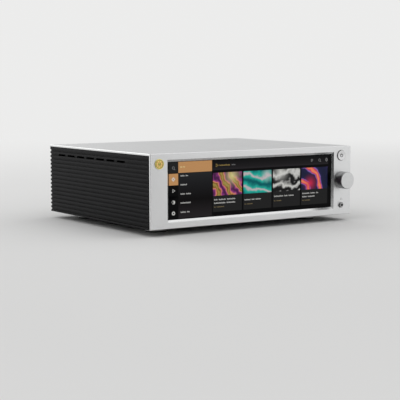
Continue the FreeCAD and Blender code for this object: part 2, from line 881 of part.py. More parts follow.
def make_base_tray():
    body = new_body("base_tray")
    plate = new_sketch(body, "tray_outline", "XY_Plane", bottom)
    inner = (inner_left + sizes.seam_gap, inner_right - sizes.seam_gap)
    add_rectangle(plate, inner, (frame_back, back))
    pad(body, "tray_plate", plate, sizes.tray_thickness)
    past_ledge = sizes.ledge_width + sizes.seam_gap
    between = (inner_left + past_ledge, inner_right - past_ledge)
    front_lip = new_sketch(body, "tray_front_outline", "XY_Plane", tray_top)
    add_rectangle(front_lip, between, (frame_back, frame_back + sizes.lip_thickness))
    pad(body, "tray_front_lip", front_lip, sizes.tray_front_lip - sizes.tray_thickness)
    rear_lip = new_sketch(body, "tray_rear_outline", "XY_Plane", tray_top)
    add_rectangle(rear_lip, between, (back - sizes.lip_thickness, back))
    pad(body, "tray_rear_lip", rear_lip, sizes.tray_rear_lip - sizes.tray_thickness)
    bosses = new_sketch(body, "foot_boss_circles", "XY_Plane", tray_top)
    for x, y in foot_places.values():
        add_circle(bosses, x, y, sizes.foot_boss_radius)
    pad(body, "foot_bosses", bosses, sizes.foot_boss_height)
    holes = new_sketch(body, "tray_circles", "XY_Plane", tray_top + sizes.foot_boss_height)
    for x, y in foot_places.values():
        add_circle(holes, x, y, sizes.foot_screw_radius + sizes.screw_clearance)
    for y in tray_screw_rows:
        add_circle(holes, tray_screw_left, y, screw_hole)
        add_circle(holes, tray_screw_right, y, screw_hole)
    pocket(body, "tray_holes", holes, sizes.tray_thickness + sizes.foot_boss_height)
    slot = new_sketch(body, "tray_vent_outline", "XY_Plane", tray_top)
    slot_x = module_x - ((sizes.tray_vent_count - 1) * sizes.tray_vent_pitch + sizes.tray_vent_width) / 2
    slot_y = front + sizes.tray_vent_y
    add_rectangle(slot, (slot_x, slot_x + sizes.tray_vent_width), (slot_y, slot_y + sizes.tray_vent_length))
    vent = pocket(body, "first_tray_vent", slot, sizes.tray_thickness)
    repeat(body, "tray_vents", vent, "X_Axis", sizes.tray_vent_count, sizes.tray_vent_pitch)
    node(body, "base_tray")
    screws = []
    for number, y in enumerate(tray_screw_rows):
        for side, x in (("left", tray_screw_left), ("right", tray_screw_right)):
            seat = (x, y, bottom)
            screws.append(screw(f"tray_screw_{side}_{number}", "z", seat, sizes.short_screw_length, True))
    node(group_of("tray_screws", screws), "tray_screws")


def make_rear_panel():
    body = new_body("rear_panel")
    outline = new_sketch(body, "rear_outline", "XZ_Plane", back)
    add_rectangle(outline, (left + sizes.groove_depth, right - sizes.groove_depth), (bottom, cover_underside))
    pad(body, "rear_plate", outline, sizes.rear_thickness, flip=True)
    gap = 2 * sizes.cutout_gap
    holes = new_sketch(body, "socket_cutouts", "XZ_Plane", back)
    add_rectangle(
        holes,
        around(inlet_place[0], sizes.inlet_body_width + gap),
        around(inlet_place[1], sizes.inlet_body_height + gap),
    )
    add_rectangle(
        holes,
        around(rocker_place[0], sizes.rocker_case_width + gap),
        around(rocker_place[1], sizes.rocker_case_height + gap),
    )
    standing = {
        "network": sizes.network_height,
        "usb": sizes.usb_height,
        "video": sizes.video_height,
        "optical_left": sizes.optical_height,
        "optical_right": sizes.optical_height,
    }
    for name, height in standing.items():
        levels = (board_top - sizes.cutout_gap, board_top + height + sizes.cutout_gap)
        add_rectangle(holes, around(row_x[name], row_widths[name] + gap), levels)
    for name in ("coaxial", "line"):
        for z in pair_levels:
            add_circle(holes, row_x[name], z, sizes.sleeve_base_radius + sizes.cutout_gap)
    for name in ("balanced_left", "balanced_right"):
        add_circle(holes, row_x[name], balanced_z, sizes.balanced_case_radius + sizes.cutout_gap)
    pocket(body, "socket_openings", holes, sizes.rear_thickness)
    circles = new_sketch(body, "rear_screw_circles", "XZ_Plane", back)
    connector_screws = inlet_screw_places + balanced_screw_places["left"] + balanced_screw_places["right"]
    for x, z in rear_screw_places + cover_screw_places + connector_screws:
        add_circle(circles, x, z, screw_hole)
    pocket(body, "rear_screw_holes", circles, sizes.rear_thickness)
    node(body, "rear_panel")
    screws = []
    for number, (x, z) in enumerate(rear_screw_places):
        screws.append(screw(f"rear_screw_{number}", "y", (x, rear_face, z), sizes.side_screw_length))
    node(group_of("rear_panel_screws", screws), "rear_panel_screws")


def make_connector_screws():
    """The screws that hold the mains inlet and the balanced sockets to the rear panel."""
    screws = []
    for number, (x, z) in enumerate(inlet_screw_places):
        seat = (x, rear_face + sizes.inlet_flange_thickness, z)
        length = sizes.short_screw_length + sizes.inlet_flange_thickness
        screws.append(screw(f"inlet_screw_{number}", "y", seat, length))
    for side, places in balanced_screw_places.items():
        for number, (x, z) in enumerate(places):
            seat = (x, rear_face + sizes.balanced_flange_thickness, z)
            length = sizes.short_screw_length + sizes.balanced_flange_thickness
            screws.append(screw(f"balanced_screw_{side}_{number}", "y", seat, length))
    node(group_of("connector_screws", screws), "connector_screws")


def make_display():
    glass = box("display_glass", window_x, (panel_back, glass_back), window_z)
    node(glass, "display_glass")
    module = box("display_module", window_x, (glass_back, module_back), window_z)
    node(module, "display_module")

    body = new_body("display_clamp")
    wall = sizes.glass_gap + sizes.clamp_wall
    outline = new_sketch(body, "clamp_outline", "XZ_Plane", frame_back)
    outer_x = (window_x[0] - wall, window_x[1] + wall)
    add_rectangle(outline, outer_x, (window_z[0] - wall, window_z[1] + wall))
    pad(body, "clamp_block", outline, clamp_back - frame_back, flip=True)
    cavity = new_sketch(body, "clamp_cavity_outline", "XZ_Plane", frame_back)
    add_rectangle(cavity, frame_opening_x, frame_opening_z)
    pocket(body, "clamp_cavity", cavity, module_back - frame_back)
    slots = new_sketch(body, "clamp_window_outlines", "XZ_Plane", module_back)
    slot_z = around(window_centre_z, sizes.clamp_window_height)
    for middle in (window_middle - sizes.clamp_window_offset, window_middle + sizes.clamp_window_offset):
        add_rectangle(slots, around(middle, sizes.clamp_window_width), slot_z)
    pocket(body, "clamp_windows", slots, sizes.clamp_back)
    posts = new_sketch(body, "driver_post_circles", "XZ_Plane", clamp_back)
    for x, z in driver_post_places:
        add_circle(posts, x, z, sizes.driver_post_radius)
    pad(body, "driver_posts", posts, sizes.driver_post_length, flip=True)
    node(body, "display_clamp")

    board_y = (clamp_back + sizes.driver_post_length, driver_back)
    board = box("display_driver_board", driver_x, board_y, driver_z)
    node(board, "display_driver_board")

    path = new_body("display_cable")
    sketch = new_sketch(path, "cable_outline", "YZ_Plane", window_middle - sizes.cable_width / 2)
    low = tray_top + sizes.cable_level
    rise_y = front + sizes.main_front - sizes.cable_standoff
    sheet_thickness = sizes.cable_thickness
    start_z = driver_z[0] + sizes.cable_standoff
    drop_y = driver_back + sizes.cable_standoff
    corners = [(driver_back, start_z), (drop_y, start_z), (drop_y, low + sheet_thickness)]
    corners += [(rise_y, low + sheet_thickness), (rise_y, board_top + sheet_thickness)]
    landing = front + sizes.main_front + sizes.cable_standoff
    corners += [(landing, board_top + sheet_thickness), (landing, board_top)]
    corners += [(rise_y + sheet_thickness, board_top), (rise_y + sheet_thickness, low)]
    corners += [(drop_y - sheet_thickness, low), (drop_y - sheet_thickness, start_z - sheet_thickness)]
    corners += [(driver_back, start_z - sheet_thickness)]
    add_outline(sketch, corners)
    pad(path, "cable_sheet", sketch, sizes.cable_width)
    node(path, "display_cable")


def make_badge():
    """A plain gold disc with a raised rim, seated in the front panel."""
    rim = sizes.badge_radius - sizes.badge_rim_width
    dish = sizes.badge_dish_depth - sizes.badge_reach
    profile = [(sizes.badge_seat_depth, 0), (sizes.badge_seat_depth, sizes.badge_radius)]
    profile += [(-sizes.badge_reach, sizes.badge_radius), (-sizes.badge_reach, rim)]
    profile += [(dish, rim), (dish, 0)]
    disc = turned("badge_disc", "y", (badge_x, front, button_z), profile)
    node(disc, "badge_disc")


def make_power_button():
    """The button with its dished face, the guide behind it, and the switch that its stem presses."""
    radius = sizes.button_radius
    flange = radius + sizes.button_flange_width
    flange_y = (sizes.front_thickness, sizes.front_thickness + sizes.button_flange_thickness)
    profile = [(sizes.button_dish_depth - sizes.button_reach, 0)]
    profile += [(-sizes.button_reach, radius - sizes.button_chamfer - sizes.button_rim_width)]
    profile += [(-sizes.button_reach, radius - sizes.button_chamfer)]
    profile += [(sizes.button_chamfer - sizes.button_reach, radius), (flange_y[0], radius)]
    profile += [(flange_y[0], flange), (flange_y[1], flange), (flange_y[1], sizes.button_stem_radius)]
    profile += [(stem_end - front, sizes.button_stem_radius), (stem_end - front, 0)]
    node(turned("power_button", "y", (control_x, front, button_z), profile), "power_button")

    bore = sizes.button_stem_radius + sizes.guide_clearance
    ring = [(frame_back - front, bore), (frame_back - front, sizes.guide_radius)]
    ring += [(guide_back - front, sizes.guide_radius), (guide_back - front, bore)]
    node(turned("button_guide", "y", (control_x, front, button_z), ring), "button_guide")

    case_front = encoder_back - sizes.switch_height
    case = box(
        "switch_case",
        around(control_x, sizes.switch_width),
        (case_front, encoder_back),
        around(button_z, sizes.switch_width),
    )
    well_radius = sizes.switch_plunger_radius + sizes.guide_clearance
    well_depth = sizes.button_travel + 2 * sizes.running_gap
    well = rod("switch_well", "y", (control_x, case_front, button_z), well_radius, well_depth)
    node(cut("power_switch", case, [well]), "power_switch")
    plunger_length = sizes.switch_plunger_reach + sizes.running_gap
    plunger = rod(
        "switch_plunger", "y", (control_x, stem_end, button_z), sizes.switch_plunger_radius, plunger_length
    )
    node(plunger, "switch_plunger")


def make_knob():
    """The knob on its shaft, the shaft in its bushing, and the plunger that a press moves."""
    radius = sizes.knob_radius
    tip = -sizes.knob_reach
    base = -sizes.knob_back_gap
    recess = base - sizes.knob_recess_depth
    bore_end = base - sizes.shaft_bore_depth
    profile = [(tip, 0), (tip, radius - sizes.knob_chamfer), (tip + sizes.knob_chamfer, radius)]
    profile += [(base - sizes.knob_chamfer, radius), (base, radius - sizes.knob_chamfer)]
    profile += [(base, sizes.knob_recess_radius), (recess, sizes.knob_recess_radius)]
    profile += [(recess, sizes.shaft_radius), (bore_end, sizes.shaft_radius), (bore_end, 0)]
    centre = (control_x, front, knob_z)
    node(turned("control_knob", "y", centre, profile), "control_knob")

    chamber_front = frame_back - front + sizes.encoder_wall
    disc_front = chamber_front + sizes.running_gap
    disc_back = disc_front + sizes.shaft_disc_thickness
    shaft = [(bore_end, 0), (bore_end, sizes.shaft_radius), (disc_front, sizes.shaft_radius)]
    shaft += [(disc_front, sizes.shaft_disc_radius), (disc_back, sizes.shaft_disc_radius), (disc_back, 0)]
    node(turned("encoder_shaft", "y", centre, shaft), "encoder_shaft")

    chamber_back = front + chamber_front + sizes.encoder_chamber_depth
    plunger_y = front + disc_back
    plunger_length = chamber_back - plunger_y - sizes.knob_travel - sizes.running_gap
    plunger_start = (control_x, plunger_y, knob_z)
    plunger = rod("encoder_plunger", "y", plunger_start, sizes.encoder_plunger_radius, plunger_length)
    node(plunger, "encoder_plunger")

    case = box(
        "encoder_case",
        around(control_x, sizes.encoder_width),
        (frame_back, encoder_back),
        around(knob_z, sizes.encoder_height),
    )
    bushing_length = sizes.bushing_reach + sizes.front_thickness + sizes.frame_thickness
    bushing_start = (control_x, front - sizes.bushing_reach, knob_z)
    bushing = rod("encoder_bushing", "y", bushing_start, sizes.bushing_radius, bushing_length)
    bore_length = bushing_length + sizes.encoder_wall
    bore = rod("encoder_bore", "y", bushing_start, sizes.shaft_radius + sizes.shaft_fit, bore_length)
    chamber_start = (control_x, front + chamber_front, knob_z)
    chamber = rod(
        "encoder_chamber", "y", chamber_start, sizes.encoder_chamber_radius, sizes.encoder_chamber_depth
    )
    node(cut("encoder_housing", fuse("encoder_solid", [case, bushing]), [bore, chamber]), "encoder_housing")

    nut_start = (control_x, front - sizes.encoder_nut_thickness, knob_z)
    nut = doc.addObject("Part::Prism", "encoder_nut_blank")
    nut.Polygon = 6
    nut.Placement = FreeCAD.Placement(FreeCAD.Vector(), turn_to["y"])
    bind(nut, Circumradius=sizes.encoder_nut_radius, Height=sizes.encoder_nut_thickness)
    move(nut, *nut_start)
    nut_bore = sizes.bushing_radius + sizes.screw_clearance
    hole = rod("encoder_nut_hole", "y", nut_start, nut_bore, sizes.encoder_nut_thickness)
    node(cut("encoder_nut", nut, [hole]), "encoder_nut")


def make_headphone_jack():
    case = box(
        "jack_case",
        around(control_x, sizes.jack_body_width),
        (frame_back, encoder_back),
        around(jack_z, sizes.jack_body_height),
    )
    start = (control_x, front - sizes.jack_reach, jack_z)
    length = sizes.jack_reach + sizes.front_thickness + sizes.frame_thickness
    bushing = rod("jack_bushing", "y", start, sizes.jack_bushing_radius, length)
    bore = rod("jack_bore", "y", start, sizes.jack_bore_radius, sizes.jack_bore_depth)
    mouth_radius = sizes.jack_bore_radius + sizes.jack_mouth_chamfer
    mouth = cone("jack_mouth", "y", start, mouth_radius, sizes.jack_bore_radius, sizes.jack_mouth_chamfer)
    tail = rod(
        "jack_tail",
        "y",
        (control_x, encoder_back, jack_z),
        sizes.jack_bushing_radius,
        sizes.board_thickness + sizes.running_gap,
    )
    node(cut("headphone_jack", fuse("jack_solid", [case, bushing, tail]), [bore, mouth]), "headphone_jack")
    inner = sizes.jack_bushing_radius + sizes.screw_clearance
    ring = [(-sizes.jack_nut_reach, inner), (0, inner), (0, sizes.jack_nut_radius)]
    ring += [(sizes.edge_chamfer - sizes.jack_nut_reach, sizes.jack_nut_radius)]
    ring += [(-sizes.jack_nut_reach, sizes.jack_nut_radius - sizes.edge_chamfer)]
    node(turned("headphone_nut", "y", (control_x, front, jack_z), ring), "headphone_nut")


def make_control_board():
    """The upright board behind the frame that carries the switch, the encoder and the jack."""
    body = new_body("control_board")
    outline = new_sketch(body, "control_board_outline", "XZ_Plane", encoder_back)
    levels = (bottom + sizes.control_board_bottom, cover_underside - sizes.control_board_top_gap)
    add_rectangle(outline, around(control_x, sizes.control_board_width), levels)
    add_circle(outline, control_x, jack_z, sizes.jack_bushing_radius + sizes.screw_clearance)
    pad(body, "control_board_plate", outline, sizes.board_thickness, flip=True)
    node(body, "control_board")


def make_feet():
    """Turned shells with a rubber pad below, each held by one screw into the tray."""
    seat = sizes.pad_reach + sizes.pad_seat
    web = seat + sizes.foot_head_height
    hole = sizes.foot_screw_radius + sizes.screw_clearance
    well = sizes.foot_head_radius + sizes.running_gap
    neck = foot_height - sizes.foot_neck_height
    profile = [(foot_height, hole), (foot_height, sizes.foot_neck_radius), (neck, sizes.foot_neck_radius)]
    profile += [(neck, sizes.foot_radius), (sizes.pad_reach + sizes.foot_chamfer, sizes.foot_radius)]
    profile += [(sizes.pad_reach, sizes.foot_radius - sizes.foot_chamfer)]
    profile += [(sizes.pad_reach, sizes.pad_radius + sizes.screw_clearance)]
    profile += [(seat, sizes.pad_radius + sizes.screw_clearance), (seat, well), (web, well), (web, hole)]
    pads = []
    screws = []
    for name, (x, y) in foot_places.items():
        node(turned(f"{name}_foot", "z", (x, y, 0), profile), f"{name}_foot")
        pad_blank = rod(f"{name}_pad_blank", "z", (x, y, 0), sizes.pad_radius, seat)
        pad_hole = rod(f"{name}_pad_hole", "z", (x, y, 0), sizes.pad_hole_radius, seat)
        pads.append(cut(f"{name}_pad", pad_blank, [pad_hole]))
        head_start = (x, y, web - sizes.foot_head_height)
        head = rod(f"{name}_screw_head", "z", head_start, sizes.foot_head_radius, sizes.foot_head_height)
        shank_length = foot_height + sizes.tray_thickness + sizes.foot_boss_height - web
        shank = rod(f"{name}_screw_shank", "z", (x, y, web), sizes.foot_screw_radius, shank_length)
        screws.append(fuse(f"{name}_screw", [head, shank]))
    node(group_of("foot_pads", pads), "foot_pads")
    node(group_of("foot_screws", screws), "foot_screws")


def board_screw_places(name):
    (x_low, x_high), (y_low, y_high) = boards[name]
    inset = sizes.board_screw_inset
    rows = (y_low + inset, y_high - sizes.board_screw_back_inset)
    return [(x, y) for x in (x_low + inset, x_high - inset) for y in rows]


def make_boards():
    standoffs = []
    screws = []
    for name, (x, y) in boards.items():
        body = new_body(name)
        outline = new_sketch(body, f"{name}_outline", "XY_Plane", board_bottom)
        add_rectangle(outline, x, y)
        places = board_screw_places(name)
        for spot in places:
            add_circle(outline, *spot, screw_hole)
        pad(body, f"{name}_plate", outline, sizes.board_thickness)
        node(body, name)
        for number, spot in enumerate(places):
            post = rod(
                f"{name}_post_{number}", "z", (*spot, tray_top), sizes.standoff_radius, sizes.standoff_height
            )
            hole_start = (*spot, board_top - sizes.short_screw_length)
            tap = rod(f"{name}_tap_{number}", "z", hole_start, screw_hole, sizes.short_screw_length)
            standoffs.append(cut(f"{name}_standoff_{number}", post, [tap]))
            screws.append(screw(f"{name}_screw_{number}", "z", (*spot, board_top), sizes.short_screw_length))
    node(group_of("board_standoffs", standoffs), "board_standoffs")
    node(group_of("board_screws", screws), "board_screws")


def make_processor():
    """The processor module on the main board and the finned heat sink on it."""
    x = around(module_x, sizes.module_width)
    y = around(front + sizes.module_y, sizes.module_depth)
    module_top = board_top + sizes.module_height
    node(box("processor_module", x, y, (board_top, module_top)), "processor_module")
    body = new_body("processor_heat_sink")
    fins_width = sizes.sink_fin_count * sizes.sink_fin_pitch + (sizes.sink_fin_pitch - sizes.sink_fin_gap)
    sink_x = around(module_x, fins_width)
    base = new_sketch(body, "sink_outline", "XY_Plane", module_top)
    add_rectangle(base, sink_x, y)
    pad(body, "sink_block", base, sizes.sink_height)
    gap = new_sketch(body, "sink_gap_outline", "XY_Plane", module_top + sizes.sink_height)
    gap_left = sink_x[0] + sizes.sink_fin_pitch - sizes.sink_fin_gap
    add_rectangle(gap, (gap_left, gap_left + sizes.sink_fin_gap), y)
    first = pocket(body, "first_sink_gap", gap, sizes.sink_height - sizes.sink_base)
    repeat(body, "sink_gaps", first, "X_Axis", sizes.sink_fin_count, sizes.sink_fin_pitch)
    node(body, "processor_heat_sink")


def capacitor_row(name, places, radius, height):
    cans = []
    for number, (x, y) in enumerate(places):
        cans.append(rod(f"{name}_{number}", "z", (x, y, board_top), radius, height))
    node(group_of(name, cans), name)


def make_capacitors():
    (supply_left, supply_right), (supply_front, supply_back) = boards["supply_board"]
    middle_x = (supply_left + supply_right) / 2
    middle_y = (supply_front + supply_back) / 2
    half = sizes.supply_capacitor_pitch / 2
    places = corners_of((middle_x - half, middle_x + half), (middle_y - half, middle_y + half), 0)
    capacitor_row("supply_capacitors", places, sizes.supply_capacitor_radius, sizes.supply_capacitor_height)
    (audio_left, audio_right), (audio_front, audio_back) = boards["audio_board"]
    middle = (audio_left + audio_right) / 2
    line = (audio_front + audio_back) / 2
    places = [(middle + number * sizes.audio_capacitor_pitch, line) for number in (-1.5, -0.5, 0.5, 1.5)]
    capacitor_row("audio_capacitors", places, sizes.audio_capacitor_radius, sizes.audio_capacitor_height)


def make_transformer():
    """A ring transformer, held on the tray by a washer and a bolt through its middle."""
    x = left + sizes.transformer_x
    y = front + sizes.transformer_y
    outer = sizes.transformer_radius
    inner = sizes.transformer_hole_radius
    height = sizes.transformer_height
    profile = [(0, inner), (0, outer), (height, outer), (height, inner)]
    body = turned("mains_transformer", "z", (x, y, tray_top), profile)

    def is_circle(item):
        return len(item.Vertexes) == 1

    dress(body, "transformer_rounds", "Fillet", is_circle, Radius=sizes.transformer_round)
    node(body, "mains_transformer")
    bolt = sizes.transformer_bolt_radius
    washer_top = height + sizes.washer_thickness
    head_top = washer_top + sizes.transformer_bolt_head_height
    head = sizes.transformer_bolt_head
    shape = [(0, 0), (0, bolt), (height, bolt), (height, sizes.washer_radius)]
    shape += [(washer_top, sizes.washer_radius), (washer_top, head), (head_top, head), (head_top, 0)]
    node(turned("transformer_bolt", "z", (x, y, tray_top), shape), "transformer_bolt")


def make_supply_screen():
    """An upright steel sheet between the supply and the boards, folded out at its foot."""
    body = new_body("supply_screen")
    profile = new_sketch(body, "screen_profile", "XZ_Plane", front + sizes.screen_front)
    fold_x = screen_left + sizes.screen_thickness
    foot_top = tray_top + sizes.screen_thickness
    screen_top = tray_top + sizes.screen_height
    corners = [(screen_left, tray_top), (screen_right, tray_top), (screen_right, foot_top)]
    corners += [(fold_x, foot_top), (fold_x, screen_top), (screen_left, screen_top)]
    add_outline(profile, corners)
    length = sizes.body_depth - sizes.screen_front - sizes.screen_back_gap
    pad(body, "screen_sheet", profile, length, flip=True)
    node(body, "supply_screen")


def make_mains_inlet():
    """A three-pin inlet: flange, case, a mouth with two cut corners and flat pins."""
    x, z = inlet_place
    face = rear_face + sizes.inlet_flange_thickness
    body = new_body("inlet_shell")
    flange = new_sketch(body, "inlet_flange_outline", "XZ_Plane", rear_face)
    add_rectangle(flange, around(x, sizes.inlet_flange_width), around(z, sizes.inlet_flange_height))
    for spot in inlet_screw_places:
        add_circle(flange, *spot, screw_hole)
    pad(body, "inlet_flange", flange, sizes.inlet_flange_thickness, flip=True)
    case = new_sketch(body, "inlet_case_outline", "XZ_Plane", rear_face)
    add_rectangle(case, around(x, sizes.inlet_body_width), around(z, sizes.inlet_body_height))
    pad(body, "inlet_case", case, sizes.inlet_body_depth)
    mouth = new_sketch(body, "inlet_mouth_outline", "XZ_Plane", face)
    low_x, high_x = around(x, sizes.inlet_mouth_width)
    low_z, high_z = around(z, sizes.inlet_mouth_height)
    corner = sizes.inlet_corner
    outline = [(low_x, low_z), (high_x, low_z), (high_x, high_z - corner), (high_x - corner, high_z)]
    outline += [(low_x + corner, high_z), (low_x, high_z - corner)]
    add_outline(mouth, outline)
    pocket(body, "inlet_mouth", mouth, sizes.inlet_mouth_depth, flip=True)
    pins = []
    pin_back = face - sizes.inlet_mouth_depth
    pin_places = ((-1, -1), (0, 1), (1, -1))
    for number, (side, raise_side) in enumerate(pin_places):
        pin_x = around(x + side * sizes.inlet_pin_spread, sizes.inlet_pin_width)
        pin_z = around(z + raise_side * sizes.inlet_pin_raise, sizes.inlet_pin_height)
        pins.append(box(f"inlet_pin_{number}", pin_x, (pin_back, pin_back + sizes.inlet_pin_length), pin_z))
    node(fuse("mains_inlet", [body, *pins]), "mains_inlet")


def make_mains_switch():
    """A rocker in a well: its sides follow arcs about the pivot, so it tips without touching."""
    x, z = rocker_place
    face = rear_face + sizes.rocker_bezel_thickness
    bezel = box(
        "rocker_bezel",
        around(x, sizes.rocker_bezel_width),
        (rear_face, face),
        around(z, sizes.rocker_bezel_height),
    )
    case = box(
        "rocker_case",
        around(x, sizes.rocker_case_width),
        (rear_face - sizes.rocker_case_depth, rear_face),
        around(z, sizes.rocker_case_height),
    )
    well = box(
        "rocker_well",
        around(x, sizes.rocker_well_width),
        (face - sizes.rocker_well_depth, face),
        around(z, sizes.rocker_well_height),
    )
    pivot_y = face - sizes.rocker_pivot_drop
    pin_hole_length = sizes.rocker_well_width + 2 * sizes.rocker_pin_length + sizes.running_gap
    pin_hole = rod(
        "rocker_pin_hole",
        "x",
        (x - pin_hole_length / 2, pivot_y, z),
        sizes.rocker_pin_radius + sizes.shaft_fit,
        pin_hole_length,
    )
    node(cut("mains_switch", fuse("rocker_shell", [bezel, case]), [well, pin_hole]), "mains_switch")

    body = new_body("rocker_blank")
    width = sizes.rocker_well_width - 2 * sizes.running_gap
    sketch = new_sketch(body, "rocker_profile", "YZ_Plane", -width / 2)
    half = sizes.rocker_half_height
    keel = -sizes.rocker_keel
    corners = [(sizes.rocker_valley, 0), (sizes.rocker_tip, half), (keel, half - sizes.rocker_tip)]
    corners += [(keel, sizes.rocker_tip - half), (sizes.rocker_tip, -half)]
    add_outline(sketch, corners)
    pad(body, "rocker_prism", sketch, width)
    pin_length = width + 2 * sizes.running_gap + 2 * sizes.rocker_pin_length
    pin = rod("rocker_pin", "x", (-pin_length / 2, 0, 0), sizes.rocker_pin_radius, pin_length)
    rocker = fuse("mains_rocker", [body, pin])
    rocker.Placement = FreeCAD.Placement(
        FreeCAD.Vector(), FreeCAD.Rotation(FreeCAD.Vector(1, 0, 0), sizes.rocker_tilt.value)
    )
    move(rocker, x, pivot_y, z)
    node(rocker, "mains_rocker")


def socket_block(name, place, height, depth):
    """A block at its place in the row, on the main board, with its face just outside the rear panel."""
    x = around(row_x[place], row_widths[place])
    return box(name, x, (socket_face - depth, socket_face), (board_top, board_top + height))


def make_board_sockets():
    network_x = row_x["network"]
    shell = socket_block("network_shell", "network", sizes.network_height, sizes.network_depth)
    mouth_y = (socket_face - sizes.network_mouth_depth, socket_face)
    mouth_low = board_top + sizes.network_mouth_drop
    mouth = box(
        "network_mouth",
        around(network_x, sizes.network_mouth_width),
        mouth_y,
        (mouth_low, mouth_low + sizes.network_mouth_height),
    )
    latch = box(
        "network_latch_slot",
        around(network_x, sizes.network_latch_width),
        mouth_y,
        (mouth_low - sizes.network_latch_drop, mouth_low),
    )
    node(cut("network_socket", shell, [mouth, latch]), "network_socket")

    mouth_x = around(row_x["usb"], sizes.usb_mouth_width)
    tongue_x = around(row_x["usb"], sizes.usb_tongue_width)
    shell = socket_block("usb_shell", "usb", sizes.usb_height, sizes.usb_depth)
    mouths = []
    tongues = []
    mouth_back = socket_face - sizes.usb_mouth_depth
    for number in range(2):
        low = board_top + sizes.usb_mouth_low + number * sizes.usb_mouth_pitch
        levels = (low, low + sizes.usb_mouth_height)
        mouths.append(box(f"usb_mouth_{number}", mouth_x, (mouth_back, socket_face), levels))
        tongue_z = around(low + sizes.usb_mouth_height / 2, sizes.usb_tongue_height)
        tongue_y = (mouth_back, mouth_back + sizes.usb_tongue_depth)
        tongues.append(box(f"usb_tongue_{number}", tongue_x, tongue_y, tongue_z))
    node(fuse("usb_socket", [cut("usb_hollow", shell, mouths), *tongues]), "usb_socket")

    body = new_body("video_shell")
    outline = new_sketch(body, "video_outline", "XZ_Plane", socket_face)
    add_outline(outline, video_outline(0))
    pad(body, "video_block", outline, sizes.video_depth, flip=False)
    mouth = new_sketch(body, "video_mouth_outline", "XZ_Plane", socket_face)
    add_outline(mouth, video_outline(sizes.video_wall))
    pocket(body, "video_mouth", mouth, sizes.video_mouth_depth, flip=True)
    tongue_back = socket_face - sizes.video_mouth_depth
    tongue = box(
        "video_tongue",
        around(row_x["video"], sizes.video_tongue_width),
        (tongue_back, tongue_back + sizes.video_mouth_depth - 2 * sizes.video_wall),
        around(board_top + sizes.video_height / 2, sizes.video_tongue_height),
    )
    node(fuse("video_socket", [body, tongue]), "video_socket")

    sockets = []
    for place in ("optical_left", "optical_right"):
        shell = socket_block(f"{place}_shell", place, sizes.optical_height, sizes.optical_depth)
        mouth_z = around(board_top + sizes.optical_height / 2, sizes.optical_mouth)
        mouth_y = (socket_face - sizes.optical_mouth_depth, socket_face)
        mouth = box(f"{place}_mouth", around(row_x[place], sizes.optical_mouth), mouth_y, mouth_z)
        sockets.append(cut(f"{place}_socket", shell, [mouth]))
    node(group_of("optical_sockets", sockets), "optical_sockets")


def video_outline(wall):
    """The video socket's outline, narrower at the bottom, drawn in by a wall."""
    low_x, high_x = around(row_x["video"], sizes.video_width - 2 * wall)
    low_z = board_top + wall
    high_z = board_top + sizes.video_height - wall
    corner = sizes.video_corner
    points = [(low_x + corner, low_z), (high_x - corner, low_z), (high_x, low_z + corner)]
    points += [(high_x, high_z), (low_x, high_z), (low_x, low_z + corner)]
    return points


def make_socket_pair(name, place):
    """Two round sockets, one above the other, in a block behind the rear panel."""
    x = row_x[place]
    block = box(
        f"{name}_block",
        around(x, sizes.pair_width),
        (back - sizes.pair_depth, back),
        (board_top, board_top + sizes.pair_height),
    )
    solids = [block]
    holes = []
    for number, z in enumerate(pair_levels):
        base_length = sizes.rear_thickness + sizes.sleeve_base_reach
        solids.append(rod(f"{name}_base_{number}", "y", (x, back, z), sizes.sleeve_base_radius, base_length))
        sleeve_length = sizes.rear_thickness + sizes.sleeve_reach
        solids.append(rod(f"{name}_sleeve_{number}", "y", (x, back, z), sizes.sleeve_radius, sleeve_length))
        depth = sizes.sleeve_hole_depth
        hole_start = (x, rear_face + sizes.sleeve_reach - depth, z)
        holes.append(rod(f"{name}_hole_{number}", "y", hole_start, sizes.sleeve_hole_radius, depth))
    node(cut(name, fuse(f"{name}_solid", solids), holes), name)


def make_balanced_output(side):
    """A round three-pin output: a flange outside the rear panel and a case behind it."""
    name = f"balanced_output_{side}"
    x = row_x[f"balanced_{side}"]
    face = rear_face + sizes.balanced_flange_thickness
    body = new_body(f"{name}_shell")
    flange = new_sketch(body, f"{name}_flange_outline", "XZ_Plane", rear_face)
    flange_z = around(balanced_z, sizes.balanced_flange_height)
    add_rectangle(flange, around(x, sizes.balanced_flange_width), flange_z)
    for spot in balanced_screw_places[side]:
        add_circle(flange, *spot, screw_hole)
    pad(body, f"{name}_flange", flange, sizes.balanced_flange_thickness, flip=True)
    case = new_sketch(body, f"{name}_case_circle", "XZ_Plane", rear_face)
    add_circle(case, x, balanced_z, sizes.balanced_case_radius)
    pad(body, f"{name}_case", case, sizes.balanced_case_depth)
    mouth = new_sketch(body, f"{name}_mouth_circle", "XZ_Plane", face)
    add_circle(mouth, x, balanced_z, sizes.balanced_mouth_radius)
    pocket(body, f"{name}_mouth", mouth, sizes.balanced_mouth_depth, flip=True)
    upper_z = balanced_z + sizes.balanced_pin_raise
    spots = [(x + direction * sizes.balanced_pin_spread, upper_z) for direction in (-1, 1)]
    spots.append((x, balanced_z - sizes.balanced_pin_drop))
    pin_back = face - sizes.balanced_mouth_depth
    length = sizes.balanced_pin_length
    pins = []
    for number, (pin_x, pin_z) in enumerate(spots):
        start = (pin_x, pin_back, pin_z)
        pins.append(rod(f"{name}_pin_{number}", "y", start, sizes.balanced_pin_radius, length))
    node(fuse(name, [body, *pins]), name)


